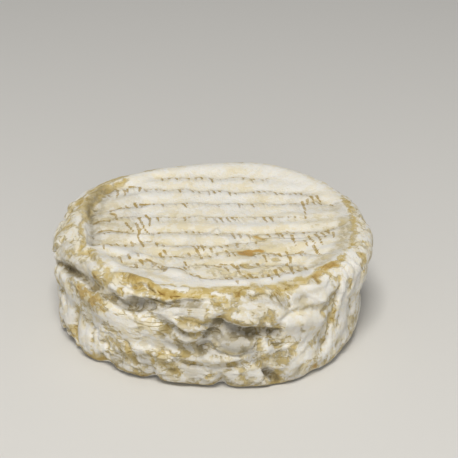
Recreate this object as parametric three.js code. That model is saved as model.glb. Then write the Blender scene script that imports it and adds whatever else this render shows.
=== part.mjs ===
// A small soft-ripened cheese wheel, standing flat: a low drum with a soft raised rim, a sunken top that
// keeps the pillow-like rows of its draining mat, and a sagging side full of folds and hollows.
// Millimetres, +Z up, origin on the table under the middle of the wheel.
import * as THREE from "three";
import { mergeGeometries, mergeVertices } from "three/addons/utils/BufferGeometryUtils.js";

// The section through the rim and side, from the rim's crest down to the flat foot.
const crest = { radius: 46.4, height: 33.9 };
const rimRoll = { radius: 50, height: 32.9 };
const shoulder = { radius: 52.9, height: 30.3 };
const widest = { radius: 54.2, height: 26.8 };
const waistTop = { radius: 53.5, height: 21.7 };
const waist = { radius: 52.4, height: 14.5 };
const lowerSide = { radius: 52.4, height: 7.3 };
const heel = { radius: 51.7, height: 2.4 };
const sole = { radius: 50.3, height: 0.5 };
const foot = { radius: 48.5, height: 0 };
const section = [crest, rimRoll, shoulder, widest, waistTop, waist, lowerSide, heel, sole, foot];

// The top, inside the crest of the rim.
const dish = { depth: 2.7, power: 4 }; // how far its middle hangs below the crest, and how late it rises
const ledge = { depth: 1.6, width: 0.1, at: 172, spread: 50 }; // steeper inner wall on the left
const rows = { pitch: 8.6, offset: 1, height: 0.55, turn: 1, crowding: 0.6, fade: 0.15 }; // rows of the mat
const rimOffset = 1.4; // the crest lies this far to the right of the widest ring

// The mesh: a square grid bent into a disc for the top, and rings of the same count round the side.
const topCells = 38;
const sideRings = 29;
const segments = 4 * topCells;
const squareShare = 0.82; // the size of the top's square grid in its middle, against the round one

const toRadians = THREE.MathUtils.degToRad;
const mix = THREE.MathUtils.lerp;
const smooth = THREE.MathUtils.smoothstep;

// Out-of-round waves, each with its number of lobes, its depth and where it peaks in degrees.
const brimWaves = [
  { lobes: 1, depth: 0.36, peak: 106 },
  { lobes: 2, depth: 0.86, peak: 132 },
  { lobes: 3, depth: 0.40, peak: 34 },
  { lobes: 4, depth: 0.73, peak: 62 },
  { lobes: 5, depth: 0.30, peak: 58 },
  { lobes: 6, depth: 0.36, peak: 13 },
  { lobes: 7, depth: 0.34, peak: 35 },
];
const footWaves = [
  { lobes: 1, depth: 0.58, peak: 205 },
  { lobes: 2, depth: 0.90, peak: 95 },
  { lobes: 3, depth: 1.20, peak: 74 },
  { lobes: 4, depth: 1.23, peak: 33 },
  { lobes: 5, depth: 0.23, peak: 69 },
  { lobes: 6, depth: 0.38, peak: 22 },
  { lobes: 7, depth: 0.42, peak: 36 },
];
const crestWaves = [
  { lobes: 2, depth: 0.35, peak: 200 },
  { lobes: 3, depth: 0.3, peak: 310 },
  { lobes: 7, depth: 0.2, peak: 12 },
];

// Folds of the side. A fold follows its path, whose places are each an angle in degrees anticlockwise
// from +X and a distance down the surface from the crest, which is 40 at the foot. It is as wide and as
// deep as given: a depth above 0 swells out, and one below 0 sinks in.
const rimFolds = [
  { path: [[165, 4], [168, 9], [166, 13]], width: 1.6, depth: -1.2 },
  { path: [[186, 16], [194, 13.5], [203, 11]], width: 1.7, depth: -1.1 }, // groove under the rim
  { path: [[203, 11], [210, 9.5], [216, 8.8]], width: 1.6, depth: -2 },
  { path: [[217, 8.6], [229, 8.8], [237, 9.9], [245, 9]], width: 1.8, depth: -3 },
  { path: [[247, 8.6], [253, 7.2], [264, 5]], width: 1.4, depth: -1.6 },
  { path: [[222, 5.2], [236, 6.2], [247, 5.4]], width: 1.6, depth: 0.9 }, // lip over the groove
  { path: [[230, 3], [238, 1], [246, 1.6], [252, 2.4]], width: 1.5, depth: 0.8 }, // thick ridge
  { path: [[231, 5.7], [240, 3.7], [249, 4], [257, 5.2]], width: 1.1, depth: -1 },
  { path: [[282, 3.7], [288, 5], [292, 6.4], [295, 8.8]], width: 1.3, depth: -1.6 },
  { path: [[299, 7.6], [305, 9.4]], width: 1.9, depth: -0.9 },
];
const middleFolds = [
  { path: [[225, 16], [240, 19]], width: 5.5, depth: 1.2 }, // smooth lobe on the left
  { path: [[248, 11.8], [254, 14], [259, 16.4]], width: 1.9, depth: -2.1 }, // slanting hollow
  { path: [[256, 9], [262, 10.8], [269, 13.4]], width: 1.4, depth: -1.6 },
  { path: [[259, 13.4], [268, 15]], width: 1.4, depth: 0.8 },
  { path: [[257, 17.8], [267, 17]], width: 1.3, depth: -1.2 },
  { path: [[271, 12], [270, 16.8], [268, 19.8], [265, 23]], width: 2.1, depth: -2.2 }, // valley
  { path: [[272, 10.5], [274, 13.6], [277, 15.8], [283, 17.2]], width: 1.7, depth: -3.3 }, // deep hollow
  { path: [[273, 8.6], [277, 10.8], [282, 13]], width: 2, depth: 1.3 }, // the brow over it
  { path: [[284, 17], [286, 16], [289, 16.9], [292, 17.5]], width: 1.5, depth: -2.6 },
  { path: [[288, 19.5], [291, 22.2]], width: 1.3, depth: -1.7 },
  { path: [[275, 20.8], [279, 21.4]], width: 3, depth: 1.6 }, // knob below the hollow
  { path: [[291, 15.2], [293, 12.8], [296, 11.8], [304, 12.8], [310, 15.4]], width: 1.2, depth: -1.7 },
  { path: [[295, 16.2], [300, 15.4], [307, 18]], width: 2.6, depth: 1.4 }, // lobe on the right
  { path: [[295, 18.4], [295, 24]], width: 1.9, depth: -1.4 },
  { path: [[314, 12], [313.5, 17], [312.5, 21], [311, 25], [310, 30]], width: 1.3, depth: -2.1 },
  { path: [[323, 9.6], [319, 15], [319.5, 22]], width: 1.5, depth: -1.3 },
  { path: [[331, 10.8], [326.5, 18], [328, 27]], width: 1.8, depth: -1.3 },
  { path: [[341, 13], [348, 18], [352, 25]], width: 2, depth: -1.3 },
];
const lowFolds = [
  { path: [[172, 22], [180, 27], [178, 33]], width: 1.8, depth: -1.4 },
  { path: [[192, 20], [197, 26], [194, 33]], width: 1.8, depth: -1.4 },
  { path: [[249, 22.8], [257, 24.6], [263, 24]], width: 1.4, depth: -1.5 },
  { path: [[242, 26], [250, 24.9], [258, 26.5], [280, 26.3]], width: 1.4, depth: 1.3 }, // long ledge
  { path: [[258, 28.8], [278, 28.2]], width: 1.2, depth: -1.2 },
  { path: [[234, 27.5], [234.5, 33]], width: 1.4, depth: -1 },
  { path: [[212, 23.8], [211, 29], [212, 33], [213, 38]], width: 1.7, depth: -2.3 }, // crease on the left
  { path: [[229, 28], [228.5, 31], [227, 35]], width: 1.3, depth: -1.2 },
  { path: [[286.5, 29.5], [288.5, 32], [291, 35]], width: 1.9, depth: -2.7 }, // pocket beside the foot
  { path: [[277, 29.5], [278, 32.8]], width: 1.4, depth: -1.2 },
  { path: [[226.5, 37], [226.5, 40]], width: 1.7, depth: -3.4 }, // nicks where the heel lifts
  { path: [[247, 36], [247, 40]], width: 1.7, depth: -2.6 },
  { path: [[272.5, 36], [272.5, 40]], width: 1.5, depth: -3.2 },
  { path: [[306, 37], [309, 40]], width: 1.8, depth: -1.5 },
];

// The far side folds in the same way, by a rule: each fold starts a step further round.
const farFolds = { count: 36, from: 0, to: 160, top: 11, bottom: 35, seed: 5 };

function randomFrom(seed) {
  let state = seed;
  return (low, high) => {
    state = (state * 1664525 + 1013904223) % 4294967296;
    return mix(low, high, state / 4294967296);
  };
}

function makeFarFolds({ count, from, to, top, bottom, seed }) {
  const draw = randomFrom(seed);
  return Array.from({ length: count }, (_, i) => {
    const path = [[mix(from, to, i / (count - 1)) + draw(-3, 3), draw(top, bottom)]];
    const heading = draw(-4, 4);
    for (let k = 0; k < 2; k++) {
      const [angle, down] = path[k];
      path.push([angle + draw(2, 8), THREE.MathUtils.clamp(down + heading + draw(-2, 2), top, bottom)]);
    }
    return { path, width: draw(1.3, 2.4), depth: i % 3 === 2 ? draw(0.8, 1.5) : draw(-2.6, -1.2) };
  });
}

const allFolds = [...rimFolds, ...middleFolds, ...lowFolds, ...makeFarFolds(farFolds)];

const profile = new THREE.SplineCurve(section.map((p) => new THREE.Vector2(p.radius, p.height)));
const profileLength = profile.getLength();

function waves(list, angle) {
  return list.reduce((sum, w) => sum + w.depth * Math.cos(w.lobes * (angle - toRadians(w.peak))), 0);
}

// Distance from a place on the side to a fold's path, with both laid out flat.
function distanceToFold(angle, down, { path }) {
  const turn = Math.round((path[0][0] - THREE.MathUtils.radToDeg(angle)) / 360) * 2 * Math.PI;
  const here = new THREE.Vector2((angle + turn) * waist.radius, down);
  const places = path.map(([degrees, along]) => new THREE.Vector2(toRadians(degrees) * waist.radius, along));
  const apart = places.slice(1).map((end, i) => {
    const run = end.clone().sub(places[i]);
    const share = THREE.MathUtils.clamp(here.clone().sub(places[i]).dot(run) / run.lengthSq(), 0, 1);
    return places[i].clone().addScaledVector(run, share).distanceTo(here);
  });
  return Math.min(...apart);
}

function foldDepth(angle, down) {
  return allFolds.reduce((total, fold) => {
    const apart = distanceToFold(angle, down, fold) / fold.width;
    return total + fold.depth * Math.exp(-apart * apart);
  }, 0);
}

// A point of the rim or side: share 0 is the crest of the rim and share 1 the edge of the foot.
// Folds push square to the surface above the widest ring and level below it, so the foot stays flat.
function sidePoint(angle, share) {
  const spot = profile.getPointAt(share);
  const along = profile.getTangentAt(share);
  const level = spot.y / crest.height;
  const push = foldDepth(angle, share * profileLength);
  const outward = along.x > 0 ? -along.y : 1;
  const lift = Math.max(along.x, 0) * push + waves(crestWaves, angle) * level;
  const radius = spot.x + mix(waves(footWaves, angle), waves(brimWaves, angle), level) + outward * push;
  const shift = rimOffset * smooth(spot.y, widest.height, crest.height);
  return new THREE.Vector3(shift + radius * Math.cos(angle), radius * Math.sin(angle), spot.y + lift);
}

// How high the rows stand at a place of the top. They crowd together toward the left and right.
function rowHeight(x, y) {
  const turned = toRadians(rows.turn);
  const straight = y * Math.cos(turned) - x * Math.sin(turned) - rows.offset;
  const wander = 0.9 * Math.sin(x / 17) + 0.5 * Math.sin(x / 6 + y / 9);
  const across = straight * (1 + rows.crowding * (x / crest.radius) ** 2) + wander;
  const phase = (2 * Math.PI * across) / rows.pitch;
  return rows.height * (Math.cos(phase) + 0.3 * Math.sin(2 * phase));
}

// A point of the top: reach 0 is its middle and reach 1 the crest of the rim.
function topPoint(angle, reach) {
  const edge = sidePoint(angle, 0);
  const x = mix(rimOffset, edge.x, reach);
  const y = edge.y * reach;
  const inward = 1 - reach;
  const besideLedge = smooth(Math.cos(angle - toRadians(ledge.at)), Math.cos(toRadians(ledge.spread)), 1);
  const step = ledge.depth * besideLedge * reach ** 2 * smooth(inward, 0, ledge.width);
  const sunk = dish.depth * (1 - reach ** dish.power) + step;
  const row = rowHeight(x, y) * smooth(inward, 0, rows.fade);
  return new THREE.Vector3(x, y, mix(crest.height, edge.z, reach ** 6) - sunk + row);
}

// Moves each vertex of a flat or turned geometry to where placeOf says, from its own numbers.
function shaped(geometry, placeOf) {
  const { position, uv } = geometry.attributes;
  for (let i = 0; i < position.count; i++) {
    const place = placeOf(position.getX(i), position.getY(i), uv.getX(i), uv.getY(i));
    position.setXYZ(i, place.x, place.y, place.z);
  }
  return geometry;
}

// An angle at a whole segment is made exactly that one, so that the skins meet without a gap.
function settled(angle) {
  const step = (2 * Math.PI) / segments;
  const whole = Math.round(angle / step);
  const turned = (whole + segments) % segments;
  return Math.abs(angle - whole * step) < 1e-4 ? turned * step : angle;
}

// The angle at which a place on a square ring lands once the ring is a circle.
function roundedAngle(x, y) {
  const eighth = Math.PI / 4;
  if (x === 0 && y === 0) return 0;
  if (Math.abs(x) >= Math.abs(y)) return (x < 0 ? Math.PI : 0) + (y / x) * eighth;
  return (y < 0 ? 3 : 1) * (Math.PI / 2) - (x / y) * eighth;
}

// The top starts as a square from -1 to 1. Its middle stays a square grid, whose lines follow the rows,
// and toward the rim its rings of cells become circles.
function makeTop() {
  return shaped(new THREE.PlaneGeometry(2, 2, topCells, topCells), (x, y) => {
    const ring = Math.max(Math.abs(x), Math.abs(y));
    const angle = settled(roundedAngle(x, y));
    if (ring === 1) return topPoint(angle, 1);
    const round = smooth(ring, 0.2, 1);
    const across = mix(squareShare * x, ring * Math.cos(angle), round);
    const away = mix(squareShare * y, ring * Math.sin(angle), round);
    return topPoint(Math.atan2(away, across), Math.hypot(across, away));
  });
}

function makeSide() {
  const outline = profile.getSpacedPoints(sideRings);
  return shaped(new THREE.LatheGeometry(outline, segments), (x, y, turn, down) =>
    sidePoint(settled(turn * 2 * Math.PI), down),
  );
}

function makeFoot() {
  return shaped(new THREE.CircleGeometry(foot.radius, segments), (x, y) => {
    const middle = Math.hypot(x, y) < 1;
    return middle ? new THREE.Vector3() : sidePoint(settled(Math.atan2(y, x)), 1);
  });
}

function turnedOver(geometry) {
  const order = geometry.index.array;
  for (let i = 0; i < order.length; i += 3) [order[i + 1], order[i + 2]] = [order[i + 2], order[i + 1]];
  return geometry;
}

function makeWheel() {
  const skins = [makeTop(), turnedOver(makeSide()), turnedOver(makeFoot())];
  skins.forEach((skin) => {
    skin.deleteAttribute("normal");
    skin.deleteAttribute("uv");
  });
  const closed = mergeVertices(mergeGeometries(skins), 1e-4);
  closed.computeBoundingBox();
  const middle = closed.boundingBox.getCenter(new THREE.Vector3());
  closed.translate(-middle.x, -middle.y, 0);
  closed.computeVertexNormals();
  const rind = new THREE.MeshStandardMaterial({ color: 0xd9d2c0, roughness: 0.85, metalness: 0 });
  const mesh = new THREE.Mesh(closed, rind);
  mesh.name = "cheese_wheel";
  return mesh;
}

const wheel = new THREE.Group();
wheel.add(makeWheel());

export default wheel;
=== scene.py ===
import math
import random
import bpy
import numpy as np
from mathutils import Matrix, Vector, noise


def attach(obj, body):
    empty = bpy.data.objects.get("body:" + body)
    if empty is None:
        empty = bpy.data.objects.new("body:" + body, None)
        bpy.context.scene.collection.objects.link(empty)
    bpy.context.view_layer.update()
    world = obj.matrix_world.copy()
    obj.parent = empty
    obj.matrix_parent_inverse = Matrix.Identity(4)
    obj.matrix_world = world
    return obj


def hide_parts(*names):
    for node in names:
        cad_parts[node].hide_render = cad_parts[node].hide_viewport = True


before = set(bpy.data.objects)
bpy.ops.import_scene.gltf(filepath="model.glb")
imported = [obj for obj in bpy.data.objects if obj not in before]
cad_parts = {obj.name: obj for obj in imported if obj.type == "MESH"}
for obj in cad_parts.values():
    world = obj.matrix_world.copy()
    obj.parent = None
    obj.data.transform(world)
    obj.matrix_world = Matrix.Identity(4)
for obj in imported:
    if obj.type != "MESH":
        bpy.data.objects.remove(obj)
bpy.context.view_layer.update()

mm = 0.001

cameraView = {
    "place": (0.0004, -0.4216, 0.2450),    # m
    "lookAt": (0.0058, 0.0064, 0.0274),    # m
    "lens": 110.5,                         # mm
    "nearest": 0.01,                       # m, what is nearer isn't shown
}

studio = {
    "key": {"place": (-0.05, -0.50, 0.95), "size": 0.35, "power": 9.0, "color": "#FFFDF8"},
    "fill": {"place": (0, -1.00, 0.28), "size": 0.5, "power": 2.2, "color": "#FFFFFF"},
    "sky": {"color": "#F4F5F7", "strength": 0.29},
    "aim": (0, 0, 0.015),                  # m, where both lamps point
    "floor": {"size": 6.0, "height": -0.0002, "color": "#D2D0CC", "roughness": 0.9},
}


# sRGB hex to the linear colour that Blender's sockets hold
def linear(hexColor):
    parts = [int(hexColor[i:i + 2], 16) / 255 for i in (1, 3, 5)]
    return (*[p / 12.92 if p <= 0.04045 else ((p + 0.055) / 1.055) ** 2.4 for p in parts], 1)


# One node with its settings. An input may be a value or another node's output.
def addNode(tree, kind, settings=None, inputs=None, stops=None, out=0):
    node = tree.nodes.new(kind)
    for key, value in (settings or {}).items():
        setattr(node, key, value)
    for key, value in (inputs or {}).items():
        if isinstance(value, bpy.types.NodeSocket):
            tree.links.new(value, node.inputs[key])
        else:
            node.inputs[key].default_value = value
    for i, (place, color) in enumerate(stops or []):
        stop = node.color_ramp.elements[i] if i < 2 else node.color_ramp.elements.new(place)
        stop.position = place
        stop.color = color
    return node.outputs[out]


def turnedTo(place, target):
    return (Vector(target) - Vector(place)).to_track_quat("-Z", "Y").to_euler()


def addCamera():
    bpy.ops.object.camera_add(location=cameraView["place"])
    camera = bpy.context.object
    camera.rotation_euler = turnedTo(cameraView["place"], cameraView["lookAt"])
    camera.data.lens = cameraView["lens"]
    camera.data.clip_start = cameraView["nearest"]
    bpy.context.scene.camera = camera


def addStudio():
    for name in ("key", "fill"):
        lamp = studio[name]
        bpy.ops.object.light_add(type="AREA", location=lamp["place"])
        light = bpy.context.object
        light.name = name
        light.rotation_euler = turnedTo(lamp["place"], studio["aim"])
        light.data.size = lamp["size"]
        light.data.energy = lamp["power"]
        light.data.color = linear(lamp["color"])[:3]
    world = bpy.data.worlds.new("studioSky")
    world.use_nodes = True
    sky = world.node_tree.nodes["Background"]
    sky.inputs["Color"].default_value = linear(studio["sky"]["color"])
    sky.inputs["Strength"].default_value = studio["sky"]["strength"]
    bpy.context.scene.world = world
    bpy.context.scene.view_settings.view_transform = "Standard"


def addFloor():
    look = studio["floor"]
    bpy.ops.mesh.primitive_plane_add(size=look["size"], location=(0, 0, look["height"]))
    floor = bpy.context.object
    floor.name = "studioFloor"
    bpy.ops.object.transform_apply(location=True)
    paper = bpy.data.materials.new("paleMattPaper")
    paper.use_nodes = True
    shader = paper.node_tree.nodes["Principled BSDF"]
    shader.inputs["Base Color"].default_value = linear(look["color"])
    shader.inputs["Roughness"].default_value = look["roughness"]
    floor.data.materials.append(paper)


addCamera()
addStudio()
addFloor()
print("camera, light and floor are up")


# The wheel starts from the CAD solid.
wheel = {
    "mergeGap": 0.001,                     # mm, corners of the solid that are this near become one
    "quadAngle": 60,                       # degrees, triangles that meet flatter than this become one face
    "rounding": 2,                         # subdivision levels
    "softened": (-9, -3),                  # mm down, between which the softening fades out
    "softening": 0.5, "softeningRounds": 60,
    "flatLayout": 52.4,                    # mm, the radius at which angles are laid out flat
    "middle": (0.37, 0.19),                # mm, its middle lies off the box's middle
    "rimShift": 1.4,                       # mm, the rim lies to the right of the widest ring
    "brimHeight": 26.8,                    # mm, the widest ring
    "topAbove": 25, "footBelow": 1,        # mm, heights that part the top and the foot from the side
    # radius and height of the section in mm, from the rim's crest to the edge of the foot
    "section": [(46.4, 33.9), (50, 32.9), (52.9, 30.3), (54.2, 26.8), (53.5, 21.7),
                (52.4, 14.5), (52.4, 7.3), (51.7, 2.4), (50.3, 0.5), (48.5, 0)],
    "sectionSteps": 24,                    # from each point of the section to the next
    # out-of-round waves: lobes, depth in mm, where one peaks in degrees
    "brimWaves": [(1, .36, 106), (2, .86, 132), (3, .40, 34), (4, .73, 62), (5, .30, 58), (6, .36, 13),
                  (7, .34, 35)],
    "footWaves": [(1, .58, 205), (2, .90, 95), (3, 1.20, 74), (4, 1.23, 33), (5, .23, 69), (6, .38, 22),
                  (7, .42, 36)],
    "crestWaves": [(2, .35, 200), (3, .3, 310), (7, .2, 12)],
}


def roundedCopy(node, name):
    bpy.ops.object.select_all(action="DESELECT")
    piece = bpy.data.objects.new(name, node.data.copy())
    bpy.context.scene.collection.objects.link(piece)
    bpy.context.view_layer.objects.active = piece
    piece.select_set(True)
    bpy.ops.object.mode_set(mode="EDIT")
    bpy.ops.mesh.select_all(action="SELECT")
    bpy.ops.mesh.remove_doubles(threshold=wheel["mergeGap"] * mm)
    quadAngle = math.radians(wheel["quadAngle"])
    bpy.ops.mesh.tris_convert_to_quads(face_threshold=quadAngle, shape_threshold=quadAngle)
    bpy.ops.object.mode_set(mode="OBJECT")
    bpy.ops.object.modifier_add(type="SUBSURF")
    piece.modifiers[-1].levels = wheel["rounding"]
    piece.modifiers[-1].render_levels = wheel["rounding"]
    bpy.ops.object.modifier_apply(modifier=piece.modifiers[-1].name)
    return piece


def places(piece):
    flat = np.empty(len(piece.data.vertices) * 3)
    piece.data.vertices.foreach_get("co", flat)
    return flat.reshape(-1, 3) / mm


def smooth(x, low, high):
    t = np.clip((x - low) / (high - low), 0, 1)
    return t * t * (3 - 2 * t)


def waves(parts, angle):
    return sum(depth * np.cos(lobes * (angle - math.radians(peak))) for lobes, depth, peak in parts)


# a smooth line through the section's points
def sectionLine():
    points = np.array([wheel["section"][0], *wheel["section"], wheel["section"][-1]])
    steps = np.arange(wheel["sectionSteps"])[:, None] / wheel["sectionSteps"]
    line = []
    for a, b, c, d in zip(points, points[1:], points[2:], points[3:]):
        startPull, endPull = (c - a) / 2, (d - b) / 2
        line.append((2 * b - 2 * c + startPull + endPull) * steps ** 3
                    + (3 * c - 3 * b - 2 * startPull - endPull) * steps ** 2 + startPull * steps + b)
    return np.vstack([*line, points[-1]])


# The rind laid out flat: each vertex gets its angle in degrees and its way down from the rim's crest in mm.
# On the top the way down is below 0, and it goes on under the foot.
def layOut(spots):
    x, y, z = (spots - (*wheel["middle"], 0)).T
    line = sectionLine()
    way = np.concatenate([[0], np.cumsum(np.hypot(*np.diff(line, axis=0).T))])
    crestRadius, crestHeight = wheel["section"][0]
    shift = wheel["rimShift"] * smooth(z, wheel["brimHeight"], crestHeight)
    angle, level = np.arctan2(y, x - shift), z / crestHeight
    push = waves(wheel["footWaves"], angle) * (1 - level) + waves(wheel["brimWaves"], angle) * level
    radius = np.hypot(x - shift, y) - push
    height = z - waves(wheel["crestWaves"], angle) * level
    nearest, best = np.full(len(x), np.inf), np.zeros(len(x), int)
    for i, (lineRadius, lineHeight) in enumerate(line):
        gap = (radius - lineRadius) ** 2 + (height - lineHeight) ** 2
        best[gap < nearest] = i
        nearest = np.minimum(gap, nearest)
    down = way[best]
    topAngle = np.arctan2(y, x - wheel["rimShift"])
    topRadius = np.hypot(x - wheel["rimShift"], y) - waves(wheel["brimWaves"], topAngle)
    onTop = (topRadius < crestRadius) & (z > wheel["topAbove"])
    under = (height < wheel["footBelow"]) & (radius < wheel["section"][-1][0])
    angle = np.where(onTop, topAngle, angle)
    down = np.where(onTop, topRadius - crestRadius, down)
    down = np.where(under, way[-1] + wheel["section"][-1][0] - radius, down)
    return np.degrees(angle) % 360, down


# The even rows of the solid are softened on the top, because the real ones come from the marks below.
def softenTop(piece, down):
    group = piece.vertex_groups.new(name="top")
    for i, share in enumerate(1 - smooth(down, *wheel["softened"])):
        if share > 0:
            group.add([i], float(share), "REPLACE")
    bpy.ops.object.modifier_add(type="SMOOTH")
    soften = piece.modifiers[-1]
    soften.vertex_group = group.name
    soften.factor, soften.iterations = wheel["softening"], wheel["softeningRounds"]
    bpy.ops.object.modifier_apply(modifier=soften.name)
    piece.vertex_groups.clear()


cheese = roundedCopy(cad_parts["cheese_wheel"], "cheeseWheel")
angle, down = layOut(places(cheese))
softenTop(cheese, down)
spots = places(cheese)
print("base is rounded:", len(spots), "vertices")


folding = {
    "side": (-3, 3), "foot": (37.5, 39.5), "top": (-4, 0),    # mm down, over which one gives way to the next
    "wiggleSize": 3.5, "wiggle": 0.7,      # mm, how the drawn lines are bent
    "endShare": 0.25, "endFade": 2.5,      # a fold's share of its depth at its ends, and mm until it is full
    "variety": 0.7, "varietySize": 5,      # how much its depth changes along it, and over how many mm
    "sharpFall": 1.2, "gentlePower": 1.3, "steepness": 3,
}

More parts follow.
